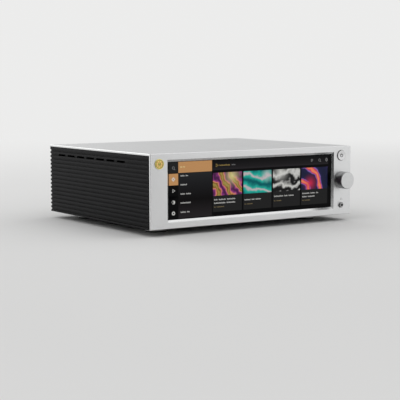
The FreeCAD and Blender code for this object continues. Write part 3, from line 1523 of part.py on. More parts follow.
make_front_panel()
make_front_frame()
make_side_panels()
make_top_cover()
make_base_tray()
make_rear_panel()
make_connector_screws()
make_display()
make_badge()
make_power_button()
make_knob()
make_headphone_jack()
make_control_board()
make_feet()
make_boards()
make_processor()
make_capacitors()
make_transformer()
make_supply_screen()
make_mains_inlet()
make_mains_switch()
make_board_sockets()
make_socket_pair("coaxial_sockets", "coaxial")
make_socket_pair("line_output_sockets", "line")
make_balanced_output("left")
make_balanced_output("right")
doc.recompute()

faults = [item.Name for item in doc.Objects if "Invalid" in item.State or "Error" in item.State]
faults += [item.Label for item in nodes if item.Shape.isNull() or not item.Shape.isValid()]
if faults:
    raise RuntimeError(f"not built: {faults}")

os.makedirs("parts", exist_ok=True)
for item in nodes:
    item.Shape.exportStep(f"parts/{item.Label}.step")
print(f"{len(nodes)} nodes")
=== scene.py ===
import math

import bpy
from mathutils import Matrix, Vector


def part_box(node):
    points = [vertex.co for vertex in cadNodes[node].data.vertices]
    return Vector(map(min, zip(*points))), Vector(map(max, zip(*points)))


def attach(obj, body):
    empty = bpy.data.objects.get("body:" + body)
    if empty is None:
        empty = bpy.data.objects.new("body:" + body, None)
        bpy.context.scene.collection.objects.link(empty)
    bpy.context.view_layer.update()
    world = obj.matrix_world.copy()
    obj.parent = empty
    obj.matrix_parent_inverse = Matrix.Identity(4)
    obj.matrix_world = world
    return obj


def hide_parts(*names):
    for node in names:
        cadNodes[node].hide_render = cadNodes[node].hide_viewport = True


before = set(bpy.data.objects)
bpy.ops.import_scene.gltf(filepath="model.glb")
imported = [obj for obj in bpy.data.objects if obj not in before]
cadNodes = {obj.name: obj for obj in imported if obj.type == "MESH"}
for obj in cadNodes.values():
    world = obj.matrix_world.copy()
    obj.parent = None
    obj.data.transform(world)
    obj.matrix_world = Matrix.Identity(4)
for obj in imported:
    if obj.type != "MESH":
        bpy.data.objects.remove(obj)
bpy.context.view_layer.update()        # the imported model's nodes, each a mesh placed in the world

mm = 0.001


# the photograph's view

cameraView = {
    "place": (-0.98027, -1.43747, 0.20778),
    "heading": 34.309,       # degrees from +Y towards +X
    "tilt": -5.879,
    "roll": -0.103,
    "lens": 102.92,
    "sensor": 36,
    "nearest": 0.05,
}


def addCamera(view):
    turn = (math.radians(90 + view["tilt"]), 0, math.radians(-view["heading"]))
    bpy.ops.object.camera_add(location=view["place"], rotation=turn)
    camera = bpy.context.object
    camera.name = "photo_camera"
    camera.rotation_euler.rotate_axis("Z", math.radians(view["roll"]))
    camera.data.lens = view["lens"]
    camera.data.sensor_width = view["sensor"]
    camera.data.clip_start = view["nearest"]
    bpy.context.scene.camera = camera


# studio: pale floor and surroundings, soft lamps, and dark cards that only reflections see

studio = {
    "paleColor": (0.84, 0.84, 0.835),
    "ambient": 0.66,
    "floorSize": 60,
    "floorColor": (0.75, 0.75, 0.745),
    "floorRough": 0.9,
    "cloudScale": 3,
    "cloudShade": 0.98,      # the floor's darkest tone, as a share of its colour
    "fadeStart": 0.6,        # metres from the object, where the floor turns into the background
    "fadeEnd": 2.6,
    "flagHeading": -41,
    "flagColor": (0.02, 0.02, 0.02),
    "flagRough": 0.9,
    "flags": {
        "studio_upright_flag": {"place": (-0.85, -1.25, 0.6), "size": (1.5, 1.2), "tilt": 90},
        "studio_floor_flag": {"place": (-0.42, -0.80, 0.002), "size": (0.55, 1.1), "tilt": 0},
    },
    "lamps": {
        "key_lamp": {"place": (1.35, -0.75, 1.95), "size": 3.8, "power": 17},
        "left_lamp": {"place": (-2.4, -0.2, 1.7), "size": 2.2, "power": 8},
        "back_lamp": {"place": (-0.2, 2.1, 1.5), "size": 2.2, "power": 15},
    },
}


def newMaterial(name):
    material = bpy.data.materials.new(name)
    material.use_nodes = True
    return material, material.node_tree, material.node_tree.nodes["Principled BSDF"]


def addNode(tree, kind, inputs=None, **settings):    # settings first, as they decide which inputs there are
    node = tree.nodes.new(f"ShaderNode{kind}")
    for name, value in settings.items():
        setattr(node, name, value)
    for name, value in (inputs or {}).items():
        node.inputs[name].default_value = value
    return node


def addRamp(tree, stops):    # a ramp of colours, from pairs of position and colour
    ramp = addNode(tree, "ValToRGB")
    elements = ramp.color_ramp.elements
    elements.remove(elements[-1])
    for number, (position, color) in enumerate(stops):
        element = elements[0] if number == 0 else elements.new(position)
        element.position = position
        element.color = (*color, 1)
    return ramp


def addBlend(tree, color):    # mixes its input A with this colour
    return addNode(tree, "Mix", {"B": (*color, 1)}, data_type="RGBA")


def linkNodes(tree, *links):    # each link is a node, its output, the next node and that one's input
    for source, output, target, entry in links:
        tree.links.new(source.outputs[output], target.inputs[entry])


def seenDirectly(tree):    # 1 for what the camera, a mirror or glass sees, 0 for light on the object
    light = addNode(tree, "LightPath")
    total = addNode(tree, "Math", operation="ADD")
    both = addNode(tree, "Math", operation="ADD", use_clamp=True)
    linkNodes(
        tree,
        (light, "Is Camera Ray", total, 0),
        (light, "Is Glossy Ray", total, 1),
        (total, "Value", both, 0),
        (light, "Is Transmission Ray", both, 1),
    )
    return both, "Value"


def addFloor(values):
    bpy.ops.mesh.primitive_plane_add(size=values["floorSize"])
    floor = bpy.context.object
    floor.name = "studio_floor"
    material, tree, shader = newMaterial("studio_floor")
    shader.inputs["Roughness"].default_value = values["floorRough"]
    shader.inputs["Specular IOR Level"].default_value = 0
    place = addNode(tree, "TexCoord")
    cloud = addNode(tree, "TexNoise", {"Scale": values["cloudScale"]})
    darkest = [c * values["cloudShade"] for c in values["floorColor"]]
    ramp = addRamp(tree, [(0, darkest), (1, values["floorColor"])])
    pale = addNode(tree, "Emission", {"Color": (*values["paleColor"], 1)})
    distance = addNode(tree, "VectorMath", operation="LENGTH")
    fadeRange = {"From Min": values["fadeStart"], "From Max": values["fadeEnd"]}
    fade = addNode(tree, "MapRange", fadeRange, interpolation_type="SMOOTHSTEP")
    share = addNode(tree, "Math", operation="MULTIPLY")
    mix = addNode(tree, "MixShader")
    linkNodes(
        tree,
        (place, "Object", cloud, "Vector"),
        (cloud, "Fac", ramp, "Fac"),
        (ramp, "Color", shader, "Base Color"),
        (place, "Object", distance, 0),
        (distance, "Value", fade, "Value"),
        (fade, "Result", share, 0),
        (*seenDirectly(tree), share, 1),
        (share, "Value", mix, "Fac"),
        (shader, "BSDF", mix, 1),
        (pale, "Emission", mix, 2),
        (mix, "Shader", tree.nodes["Material Output"], "Surface"),
    )
    floor.data.materials.append(material)


def addWorld(values):
    world = bpy.data.worlds.new("studio_world")
    bpy.context.scene.world = world
    world.use_nodes = True
    tree = world.node_tree
    choose = addBlend(tree, values["paleColor"])
    choose.inputs["A"].default_value = (values["ambient"],) * 3 + (1,)
    linkNodes(
        tree,
        (*seenDirectly(tree), choose, "Factor"),
        (choose, "Result", tree.nodes["Background"], "Color"),
    )


def addFlags(values):    # keep the window's right edge dark, as in the photograph
    material, tree, shader = newMaterial("studio_flag")
    shader.inputs["Base Color"].default_value = (*values["flagColor"], 1)
    shader.inputs["Roughness"].default_value = values["flagRough"]
    for name, look in values["flags"].items():
        turn = (math.radians(look["tilt"]), 0, math.radians(values["flagHeading"]))
        bpy.ops.mesh.primitive_plane_add(size=1, location=look["place"], rotation=turn)
        flag = bpy.context.object
        flag.name = name
        flag.scale = (*look["size"], 1)
        flag.data.materials.append(material)
        flag.visible_camera = False
        flag.visible_diffuse = False
        flag.visible_shadow = False


def addLamps(values):
    for name, lamp in values["lamps"].items():
        bpy.ops.object.light_add(type="AREA", location=lamp["place"])
        light = bpy.context.object
        light.name = name
        light.data.size = lamp["size"]
        light.data.energy = lamp["power"]
        light.rotation_euler = (-light.location).to_track_quat("-Z", "Y").to_euler()


bpy.context.scene.view_settings.view_transform = "Standard"
addCamera(cameraView)
addFloor(studio)
addWorld(studio)
addFlags(studio)
addLamps(studio)
print("studio and camera are set")


# finishes, one for each material slot of the record, and two for single nodes

finishes = {    # rough: middle and spread; mottle: strength and scale; grain: scale and depth in mm
    "silver_front": {
        "color": (0.83, 0.835, 0.84), "metal": 1, "tint": 0.9,
        "rough": (0.42, 0.05), "mottle": (0.03, 40), "grain": (5200, 0.012),
        # painted light: the window's bevel and chamfers are darkened as painted shade, and the panel's sides
        # are lightened as a painted highlight; their lower roughness is real polish
        "edges": [{"axis": "Y", "from": 0.97, "to": 0.93, "lift": 0.8, "rough": 0.24},
                  {"axis": "Y", "from": 0.3, "to": 0.2, "lift": 1.1, "rough": 0.2}],
    },
    "silver_cover": {
        # painted shade: this colour is set darker than silver_front's, for how light falls on the top
        "color": (0.70, 0.705, 0.71), "metal": 1, "tint": 0.6,
        "rough": (0.45, 0.05), "mottle": (0.03, 30), "grain": (5200, 0.012),
        # painted highlight: the cover's sides and chamfers are lifted in colour; their lower roughness is
        # real polish
        "edges": [{"axis": "Z", "from": 0.745, "to": 0.715, "lift": 1.32, "rough": 0.2}],
    },
    "knob_aluminium": {
        "color": (0.76, 0.765, 0.77), "metal": 1, "tint": 0.9,
        "rough": (0.22, 0.04), "mottle": (0.03, 90), "grain": (5200, 0.008),
        # painted shade: the knob's side and chamfer are darkened to stand in for dark reflections
        "edges": [{"axis": "Y", "from": 0.95, "to": 0.85, "lift": 0.4, "rough": 0.34}],
        "rings": {"node": "control_knob", "axis": "Y", "pitch": 0.22, "depth": 0.004},
    },
    "black_anodised": {
        "color": (0.012, 0.012, 0.013), "gloss": 0.08,
        "rough": (0.42, 0.08), "mottle": (0.15, 60), "grain": (3800, 0.01),
    },
    "black_steel": {
        "color": (0.018, 0.018, 0.018), "gloss": 0.3,
        "rough": (0.5, 0.1), "mottle": (0.15, 80), "grain": (1500, 0.04),
    },
    "zinc_steel": {
        "color": (0.6, 0.6, 0.6), "metal": 1,
        "rough": (0.32, 0.12), "mottle": (0.14, 160), "grain": (2600, 0.008),
    },
    "display_glass": {
        "color": (0.002, 0.002, 0.0025), "gloss": 0.06,
        "rough": (0.04, 0.02), "mottle": (0.1, 20), "grain": (300, 0.0005),
    },
    "gold_brass": {
        "color": (0.97, 0.82, 0.26), "metal": 1,
        "rough": (0.3, 0.1), "mottle": (0.1, 300), "grain": (4000, 0.006),
        "rings": {"node": "badge_disc", "axis": "Y", "pitch": 0.3, "depth": 0.01},
    },
    "brass": {
        "color": (0.75, 0.6, 0.3), "metal": 1,
        "rough": (0.3, 0.1), "mottle": (0.1, 200), "grain": (3000, 0.008),
    },
    "polished_aluminium": {
        "color": (0.82, 0.82, 0.83), "metal": 1,
        "rough": (0.12, 0.05), "mottle": (0.03, 300), "grain": (3000, 0.002),
    },
    "button_aluminium": {
        "color": (0.80, 0.80, 0.81), "metal": 1,
        "rough": (0.13, 0.04), "mottle": (0.03, 300), "grain": (3000, 0.002),
        # painted shade: the button's side and rim are darkened into a shaded crescent
        "edges": [{"axis": "Y", "from": 0.9, "to": 0.8, "lift": 0.1, "rough": 0.2}],
        "rings": {"node": "power_button", "axis": "Y", "pitch": 0.25, "depth": 0.006},
    },
    "nut_aluminium": {
        "color": (0.2, 0.2, 0.205), "metal": 1,
        "rough": (0.16, 0.04), "mottle": (0.05, 300), "grain": (3000, 0.002),
        "rings": {"node": "headphone_nut", "axis": "Y", "pitch": 0.25, "depth": 0.004},
    },
    "foot_aluminium": {
        "color": (0.55, 0.56, 0.56), "metal": 1,
        "rough": (0.18, 0.06), "mottle": (0.05, 150), "grain": (3000, 0.006),
    },
    "rubber": {
        "color": (0.02, 0.02, 0.02), "gloss": 0.3,
        "rough": (0.8, 0.1), "mottle": (0.15, 200), "grain": (2000, 0.04),
    },
    "black_plastic": {
        "color": (0.02, 0.02, 0.02), "gloss": 0.4,
        "rough": (0.45, 0.1), "mottle": (0.08, 150), "grain": (2400, 0.02),
    },
    "circuit_board": {
        "color": (0.02, 0.12, 0.07),
        "rough": (0.4, 0.1), "mottle": (0.3, 400), "grain": (900, 0.02),
        "traces": {"pitch": 2.6, "line": 0.07, "length": 3, "row": 0.5, "color": (0.06, 0.24, 0.10),
                   "pad": 0.28, "padPitch": 3.4, "padColor": (0.55, 0.55, 0.50)},
    },
    "cable_film": {
        "color": (0.8, 0.8, 0.78),
        "rough": (0.4, 0.1), "mottle": (0.05, 400), "grain": (900, 0.01),
    },
    "capacitor_can": {
        "color": (0.05, 0.05, 0.08),
        "rough": (0.25, 0.1), "mottle": (0.1, 200), "grain": (900, 0.01),
        "edges": [{"axis": "Z", "from": 0.9, "to": 0.95, "lift": 11, "rough": 0.3}],
    },
    "transformer_wrap": {
        "color": (0.65, 0.45, 0.1),
        "rough": (0.3, 0.1), "mottle": (0.25, 300), "grain": (700, 0.05),
        # the winding's darker colour is painted shade at the end of each lap
        "winding": {"node": "mains_transformer", "turns": 150, "depth": 0.3, "color": (0.30, 0.13, 0.03),
                    "shadeFrom": 0.7},
    },
    "socket_steel": {
        "color": (0.65, 0.65, 0.65), "metal": 1,
        "rough": (0.3, 0.1), "mottle": (0.08, 300), "grain": (3000, 0.006),
    },
    "socket_gold": {
        "color": (0.83, 0.62, 0.2), "metal": 1,
        "rough": (0.22, 0.08), "mottle": (0.06, 300), "grain": (3000, 0.006),
    },
    "black_nickel": {
        "color": (0.05, 0.05, 0.055), "metal": 1,
        "rough": (0.28, 0.08), "mottle": (0.08, 250), "grain": (3000, 0.006),
    },
}
singleNodes = {"power_button": "button_aluminium", "headphone_nut": "nut_aluminium"}
plainGloss = 0.5
cloudDetail = 4
cloudStops = (0.3, 0.7)
brightest = 0.93             # of a toned edge
waveLength = math.pi / 10    # metres, of a wave texture with scale 1


def makeFinish(name, look):
    material, tree, shader = newMaterial(name)
    shader.inputs["Metallic"].default_value = look.get("metal", 0)
    shader.inputs["Specular IOR Level"].default_value = look.get("gloss", plainGloss)
    shader.inputs["Specular Tint"].default_value = (look.get("tint", 1),) * 3 + (1,)
    middle, spread = look["rough"]
    strength, cloudScale = look["mottle"]
    grainScale, depth = look["grain"]
    place = addNode(tree, "TexCoord")
    cloud = addNode(tree, "TexNoise", {"Scale": cloudScale, "Detail": cloudDetail})
    tones = ([c * (1 - strength) for c in look["color"]], look["color"])
    shade = addRamp(tree, zip(cloudStops, tones))
    rough = addNode(tree, "MapRange", {"To Min": middle - spread, "To Max": middle + spread})
    grain = addNode(tree, "TexNoise", {"Scale": grainScale})
    bump = addNode(tree, "Bump", {"Distance": depth * mm})
    linkNodes(
        tree,
        (place, "Object", cloud, "Vector"),
        (place, "Object", grain, "Vector"),
        (cloud, "Fac", shade, "Fac"),
        (shade, "Color", shader, "Base Color"),
        (grain, "Fac", rough, "Value"),
        (rough, "Result", shader, "Roughness"),
        (grain, "Fac", bump, "Height"),
        (bump, "Normal", shader, "Normal"),
    )
    # colours by facing: painted shade and highlight on the silver parts, plain tones elsewhere
    if "edges" in look:
        toneAndPaintLightByFacing(tree, shader, shade, rough, look)
    if "rings" in look:
        turnRings(tree, place, bump, look["rings"])
    if "traces" in look:
        printTraces(tree, place, shade, shader, look["traces"])
    if "winding" in look:
        windTape(tree, place, bump, shade, shader, look["winding"])
    return material


def middleOf(node):
    low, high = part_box(node)
    return (low + high) / 2


def centreOn(tree, node):    # moves a texture's origin to the middle of a node
    return addNode(tree, "Mapping", {"Location": -middleOf(node)})


def printTraces(tree, place, shade, shader, traces):    # copper lines under the mask, and tinned pads
    lines = addNode(tree, "TexBrick", {
        "Scale": 1 / (traces["pitch"] * mm), "Mortar Size": traces["line"],
        "Brick Width": traces["length"], "Row Height": traces["row"]})
    dots = addNode(tree, "TexVoronoi", {"Scale": 1 / (traces["padPitch"] * mm)})
    near = addNode(tree, "Math", {1: traces["pad"]}, operation="LESS_THAN")
    lined = addBlend(tree, traces["color"])
    padded = addBlend(tree, traces["padColor"])
    linkNodes(
        tree,
        (place, "Object", lines, "Vector"),
        (place, "Object", dots, "Vector"),
        (lines, "Fac", lined, "Factor"),
        (shade, "Color", lined, "A"),
        (dots, "Distance", near, 0),
        (near, "Value", padded, "Factor"),
        (lined, "Result", padded, "A"),
        (padded, "Result", shader, "Base Color"),
    )


def windTape(tree, place, bump, shade, shader, winding):    # tape wound round a ring, seen as spokes
    centred = centreOn(tree, winding["node"])
    angle = addNode(tree, "TexGradient", gradient_type="RADIAL")
    count = addNode(tree, "Math", {1: winding["turns"]}, operation="MULTIPLY")
    lap = addNode(tree, "Math", operation="FRACT")
    laps = addNode(tree, "Bump", {"Distance": winding["depth"] * mm})
    toned = addBlend(tree, winding["color"])
    # painted shade: each lap darkens towards its end, where the next lap overlaps it
    edge = addNode(tree, "MapRange", {"From Min": winding["shadeFrom"]})
    linkNodes(
        tree,
        (place, "Object", centred, "Vector"),
        (centred, "Vector", angle, "Vector"),
        (angle, "Fac", count, 0),
        (count, "Value", lap, 0),
        (lap, "Value", laps, "Height"),
        (laps, "Normal", bump, "Normal"),
        (lap, "Value", edge, "Value"),
        (edge, "Result", toned, "Factor"),
        (shade, "Color", toned, "A"),
        (toned, "Result", shader, "Base Color"),
    )


def toneAndPaintLightByFacing(tree, shader, shade, rough, look):    # faces turned from the axis get a colour and gloss by how they face: painted shade and painted highlight on the silver parts, the cans' own pale tops
    facing = addNode(tree, "NewGeometry")
    size = addNode(tree, "VectorMath", operation="ABSOLUTE")
    split = addNode(tree, "SeparateXYZ")
    linkNodes(
        tree,
        (facing, "True Normal", size, 0),
        (size, "Vector", split, "Vector"),
    )
    color, gloss = (shade, "Color"), (rough, "Result")
    for own in look["edges"]:
        edge = addNode(tree, "MapRange", {"From Min": own["from"], "From Max": own["to"]})    # 1 on the edges
        toned = addBlend(tree, [min(c * own["lift"], brightest) for c in look["color"]])
        smoother = addNode(tree, "Mix", {"B": own["rough"]})
        linkNodes(
            tree,
            (split, own["axis"], edge, "Value"),
            (edge, "Result", toned, "Factor"),
            (*color, toned, "A"),
            (edge, "Result", smoother, "Factor"),
            (*gloss, smoother, "A"),
        )
        color, gloss = (toned, "Result"), (smoother, "Result")
    linkNodes(tree, (*color, shader, "Base Color"), (*gloss, shader, "Roughness"))


def turnRings(tree, place, bump, rings):    # the fine circles that a lathe leaves, round the piece's own axis
    centred = centreOn(tree, rings["node"])
    circles = addNode(
        tree, "TexWave", {"Scale": waveLength / (rings["pitch"] * mm)},
        wave_type="RINGS", rings_direction=rings["axis"])
    grooves = addNode(tree, "Bump", {"Distance": rings["depth"] * mm})
    linkNodes(
        tree,
        (place, "Object", centred, "Vector"),
        (centred, "Vector", circles, "Vector"),
        (circles, "Fac", grooves, "Height"),
        (grooves, "Normal", bump, "Normal"),
    )


made = {name: makeFinish(name, look) for name, look in finishes.items()}
for node in cadNodes.values():
    for holder in node.material_slots:
        holder.material = made[holder.material.name.split(".")[0]]
for name, finish in singleNodes.items():
    cadNodes[name].material_slots[0].material = made[finish]
print("finishes are on the nodes")


# modelling helpers

cornerSteps = 4
tipSteps = 3
smoothAngle = math.radians(40)
endFace = 0.9                # the least part of a normal along Y for a face at an end


def inMetres(values):
    return [value * mm for value in values]


def lengths(values, *names):    # named ones, in metres
    return [values[name] * mm for name in names]


def startClean():
    if bpy.context.object and bpy.context.object.mode != "OBJECT":
        bpy.ops.object.mode_set(mode="OBJECT")
    bpy.ops.object.select_all(action="DESELECT")


def pick(pieces):    # selects them, and makes the first one active
    startClean()
    for piece in pieces:
        piece.select_set(True)
    bpy.context.view_layer.objects.active = pieces[0]


def pickFaces(piece, test):
    bpy.ops.object.mode_set(mode="EDIT")
    bpy.ops.mesh.select_mode(type="FACE")
    bpy.ops.mesh.select_all(action="DESELECT")
    bpy.ops.object.mode_set(mode="OBJECT")
    for face in piece.data.polygons:
        face.select = test(face)
    bpy.ops.object.mode_set(mode="EDIT")


def openOutline():    # fixes the new piece's place and size and selects all of it for editing
    bpy.ops.object.transform_apply(location=True, rotation=True, scale=True)
    bpy.ops.object.mode_set(mode="EDIT")
    bpy.ops.mesh.select_all(action="SELECT")
    return bpy.context.object


def thicken(thick):    # pulls a flat outline out to the front, or to the back where thick is negative
    bpy.ops.mesh.select_all(action="SELECT")
    bpy.ops.mesh.extrude_region_move(TRANSFORM_OT_translate={"value": (0, -thick, 0)})
    bpy.ops.mesh.select_all(action="SELECT")
    bpy.ops.mesh.normals_make_consistent(inside=False)
    bpy.ops.object.mode_set(mode="OBJECT")


def addPlate(centre, width, height, thick, corner=0, turn=0, border=0):    # with a border, an open frame
    startClean()
    upright = (math.radians(90), math.radians(turn), 0)
    bpy.ops.mesh.primitive_plane_add(size=1, location=centre, rotation=upright)
    bpy.context.object.scale = (width, height, 1)
    plate = openOutline()
    if corner:
        bpy.ops.mesh.bevel(offset=corner, segments=cornerSteps, affect="VERTICES")
    if border:
        bpy.ops.mesh.select_all(action="SELECT")
        bpy.ops.mesh.inset(thickness=border)
        bpy.ops.mesh.delete(type="FACE")
    thicken(thick)
    return plate


def addRing(centre, outer, inner, thick, sides=32, gap=None, turn=0):    # without an inner radius, a disc
    startClean()
    upright = (math.radians(90), math.radians(turn), 0)
    bpy.ops.mesh.primitive_circle_add(
        vertices=sides, radius=outer, fill_type="NGON", location=centre, rotation=upright)
    ring = openOutline()
    if inner:
        share = math.cos(math.pi / sides)    # from a corner's radius to a side's
        bpy.ops.mesh.inset(thickness=(outer - inner) * share)
        bpy.ops.mesh.delete(type="FACE")
    if gap:
        pickFaces(ring, lambda face: inGap(face.center - Vector(centre), gap))
        bpy.ops.mesh.delete(type="FACE")
    thicken(thick)
    return ring


def inGap(offset, gap):    # a middle and a width in degrees, from straight up, clockwise from the front
    middle, width = gap
    angle = math.degrees(math.atan2(offset.x, offset.z))
    away = (angle - middle + 180) % 360 - 180
    return abs(away) < width / 2


def addRod(centre, radius, length, sides):    # a round or many-sided rod along Y
    startClean()
    bpy.ops.mesh.primitive_cylinder_add(
        vertices=sides, radius=radius, depth=length, location=centre, rotation=(math.radians(-90), 0, 0))
    bpy.ops.object.transform_apply(location=True, rotation=True, scale=True)
    return bpy.context.object


def roundEnd(rod, size):    # at the back
    pickFaces(rod, lambda face: face.normal.y > endFace)
    bpy.ops.mesh.bevel(offset=size, segments=tipSteps)
    bpy.ops.object.mode_set(mode="OBJECT")


def copyPiece(piece, change):    # each copy has its own mesh, moved by a matrix
    twin = piece.copy()
    twin.data = piece.data.copy()
    twin.data.transform(change)
    bpy.context.collection.objects.link(twin)
    return twin


def smoothByAngle(piece):
    pick([piece])
    bpy.ops.object.shade_smooth_by_angle(angle=smoothAngle)


def dress(pieces, name, material, body="housing", smooth=False):    # joined into one finished piece
    pick(pieces)
    if len(pieces) > 1:
        bpy.ops.object.join()
    piece = bpy.context.object
    piece.name = name
    if smooth:
        smoothByAngle(piece)
    piece.data.materials.clear()
    piece.data.materials.append(material)
    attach(piece, body)
    return piece


# the picture on the display, a thin lit layer on the glass

screen = {
    "thick": 0.03,           # mm, as all lengths here, from the window's lower left corner
    "sink": 0.01,
    "lift": 0.01,            # of pictures, words and icons over the plates behind them
    "bevel": 3.0,            # the window's bevel runs over the glass by its width
    "corner": 0.6,
    "glass": {"color": (0.002, 0.002, 0.0025), "rough": 0.05, "gloss": 0.06},
    "pixel": {"pitch": 0.24, "gap": 0.08, "second": 0.96, "between": 0.8},    # tones as shares
    "colors": {
        "tan": (0.479, 0.251, 0.102),
        "pale": (0.58, 0.58, 0.56),
        "gold": (0.34, 0.24, 0.07),
        "bronze": (0.22, 0.17, 0.08),
        "yellow": (0.80, 0.74, 0.36),
        "dim": (0.20, 0.20, 0.20),
        "grey": (0.013, 0.013, 0.013),
    },
    "shaded": {              # plates as left, bottom, width and height, and their tones from the bottom up
        "screen_menu": ((16.5, 1.6, 55.7, 61.7), [
            (0.0, (0.014, 0.012, 0.013)), (0.12, (0.011, 0.009, 0.010)), (0.4, (0.0015, 0.001, 0.001)),
            (0.75, (0.008, 0.008, 0.009)), (1.0, (0.014, 0.015, 0.016))]),
        "screen_header": ((73.4, 64.8, 210.0, 13.6), [
            (0.0, (0.016, 0.014, 0.016)), (0.25, (0.009, 0.008, 0.009)), (1.0, (0.001, 0.001, 0.001))]),
    },
    "markPlates": ((16.5, 63.6, 55.8, 15.1), (1.2, 47.0, 15.0, 15.8)),
    "cornerPlate": (1.4, 63.6, 14.6, 15.0),
    "text": 2.0,
    "smallText": 1.8,
    "noteText": 1.5,
    "letterPitch": 0.58,     # of the text's height
    "letterWidth": 0.55,     # of the pitch
    "letterHeights": (1.0, 0.7, 0.7, 1.0, 0.7, 0.85, 0.7, 0.7, 1.0, 0.7),
    "menuLeft": 20.2,
    # rows of words: level and the words' widths, in some with the left edge first
    "menuRows": ((59.6, (6.5, 4.0)), (47.4, (10.5,)), (34.7, (7.0, 8.0)), (22.4, (16.5,)), (9.7, (9.0, 4.0))),
    "headingRow": (85.2, 71.3, (18.0,)),
    "chosenRow": (20.2, 71.6, (3.0, 2.6)),
    "faintRow": (106.0, 71.3, (6.5,)),
    "columnIcons": (("diamond", 8.4, 55.1), ("triangle", 8.4, 39.4), ("half", 8.4, 23.7), ("ring", 8.4, 8.7)),
    "headingIcon": ("triangle", 80.5, 71.3),
    "faintIcons": (("bars", 252.0, 71.4), ("lens", 266.4, 71.4), ("gear", 280.0, 71.4), ("lens", 8.4, 70.7)),
    "cardLeft": (73.8, 126.6, 179.4, 232.0),
    "cardWidth": 50.0,
    "cardBottom": 6.2,
    "cardTop": 60.9,
    "cardMargin": 2.2,
    "pictureBottom": 28.8,
    "cardText": (
        ((23.4, (6.0, 12.0, 14.5)), (18.6, (19.5, 15.0))),
        ((20.4, (10.5, 5.0, 9.5)),),
        ((22.2, (17.0, 6.0, 9.5)),),
        ((23.4, (13.5, 9.0, 4.0)), (18.6, (8.5, 13.0))),
    ),
    "cardNote": ((13.2, (3.0, 12.5)), (14.2, (3.0, 9.5)), (15.6, (3.0, 9.0)), (13.2, (3.0, 10.0))),
}
icons = {    # rings: outer and inner radius, sides, gap, turn; bars: across, up, width, height, turn
    "lens": {"rings": ((2.0, 1.4),), "bars": ((1.9, -1.9, 2.2, 0.8, 45),)},
    "diamond": {"rings": ((3.1, 1.3, 4),)},
    "triangle": {"rings": ((2.9, 1.9, 3, None, 90),)},
    "half": {"rings": ((2.6, 0.2, 32, (-90, 180)), (2.6, 2.2))},
    "ring": {"rings": ((2.6, 1.3),)},
    "bars": {"bars": ((0, 1.4, 4.0, 0.7), (0, 0, 4.0, 0.7), (-0.7, -1.4, 2.6, 0.7))},
    "gear": {"rings": ((2.3, 1.1, 8),), "bars": ((0, 2.4, 0.9, 0.9), (0, -2.4, 0.9, 0.9))},
}
iconCorner = 0.2
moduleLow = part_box("display_module")[0]
windowLeft = moduleLow.x + screen["bevel"] * mm
windowBottom = moduleLow.z + screen["bevel"] * mm
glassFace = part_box("display_glass")[0].y


def onScreen(left, bottom, lift=0):
    return (windowLeft + left * mm, glassFace + (screen["sink"] - lift) * mm, windowBottom + bottom * mm)


def screenPlate(left, bottom, width, height, corner=0, lift=0):
    centre = onScreen(left + width / 2, bottom + height / 2, lift)
    return addPlate(centre, width * mm, height * mm, screen["thick"] * mm, corner * mm)


def wordRow(left, middle, words, height):    # short strokes in place of words
    pattern = screenPlate(0, 0, 1, 1, 0, screen["lift"])
    toOrigin = Matrix.Translation(-Vector(onScreen(0, 0)))
    strokes = []
    for width in words:
        count = max(2, round(width / (height * screen["letterPitch"])))
        for number in range(count):
            tall = height * screen["letterHeights"][number % len(screen["letterHeights"])]
            place = Vector(onScreen(left + width * number / count, middle - height / 2))
            size = Matrix.Diagonal((width / count * screen["letterWidth"], 1, tall, 1))
            strokes.append(copyPiece(pattern, Matrix.Translation(place) @ size @ toOrigin))
        left += width + height
    bpy.data.objects.remove(pattern)
    return strokes


def addIcon(shape, across, up):    # plain signs: lens, diamond, triangle, half disc, ring, bars, gear
    thick = screen["thick"] * mm
    centre = onScreen(across, up, screen["lift"])
    pieces = [addRing(centre, outer * mm, inner * mm, thick, *more)
              for outer, inner, *more in icons[shape].get("rings", ())]
    for x, z, width, height, *turn in icons[shape].get("bars", ()):
        place = onScreen(across + x, up + z, screen["lift"])
        pieces.append(addPlate(place, width * mm, height * mm, thick, iconCorner * mm, *turn))
    return pieces


def glowingGlass(name):
    material, tree, shader = newMaterial(name)
    glass = screen["glass"]
    shader.inputs["Base Color"].default_value = (*glass["color"], 1)
    shader.inputs["Roughness"].default_value = glass["rough"]
    shader.inputs["Specular IOR Level"].default_value = glass["gloss"]
    shader.inputs["Emission Strength"].default_value = 1
    return material, tree, addNode(tree, "TexCoord"), shader


def litMaterial(name, color):    # one colour in a grid of pixels
    material, tree, place, shader = glowingGlass(name)
    pixel = screen["pixel"]
    turned = addNode(tree, "Mapping", {"Rotation": (math.radians(-90), 0, 0)})
    pixels = addNode(tree, "TexBrick", {
        "Scale": 1 / (pixel["pitch"] * mm), "Brick Width": 1, "Row Height": 1, "Mortar Size": pixel["gap"],
        "Color1": (*color, 1), "Color2": (*(c * pixel["second"] for c in color), 1),
        "Mortar": (*(c * pixel["between"] for c in color), 1)}, offset=0)
    linkNodes(
        tree,
        (place, "Object", turned, "Vector"),
        (turned, "Vector", pixels, "Vector"),
        (pixels, "Color", shader, "Emission Color"),
    )
    return material


def shadedScreen(name, bottom, height, stops):    # a colour that changes from the bottom to the top
    material, tree, place, shader = glowingGlass(name)
    split = addNode(tree, "SeparateXYZ")
    low = windowBottom + bottom * mm
    rise = addNode(tree, "MapRange", {"From Min": low, "From Max": low + height * mm})
    ramp = addRamp(tree, stops)
    linkNodes(
        tree,
        (place, "Object", split, "Vector"),
        (split, "Z", rise, "Value"),
        (rise, "Result", ramp, "Fac"),
        (ramp, "Color", shader, "Emission Color"),
    )
    return material


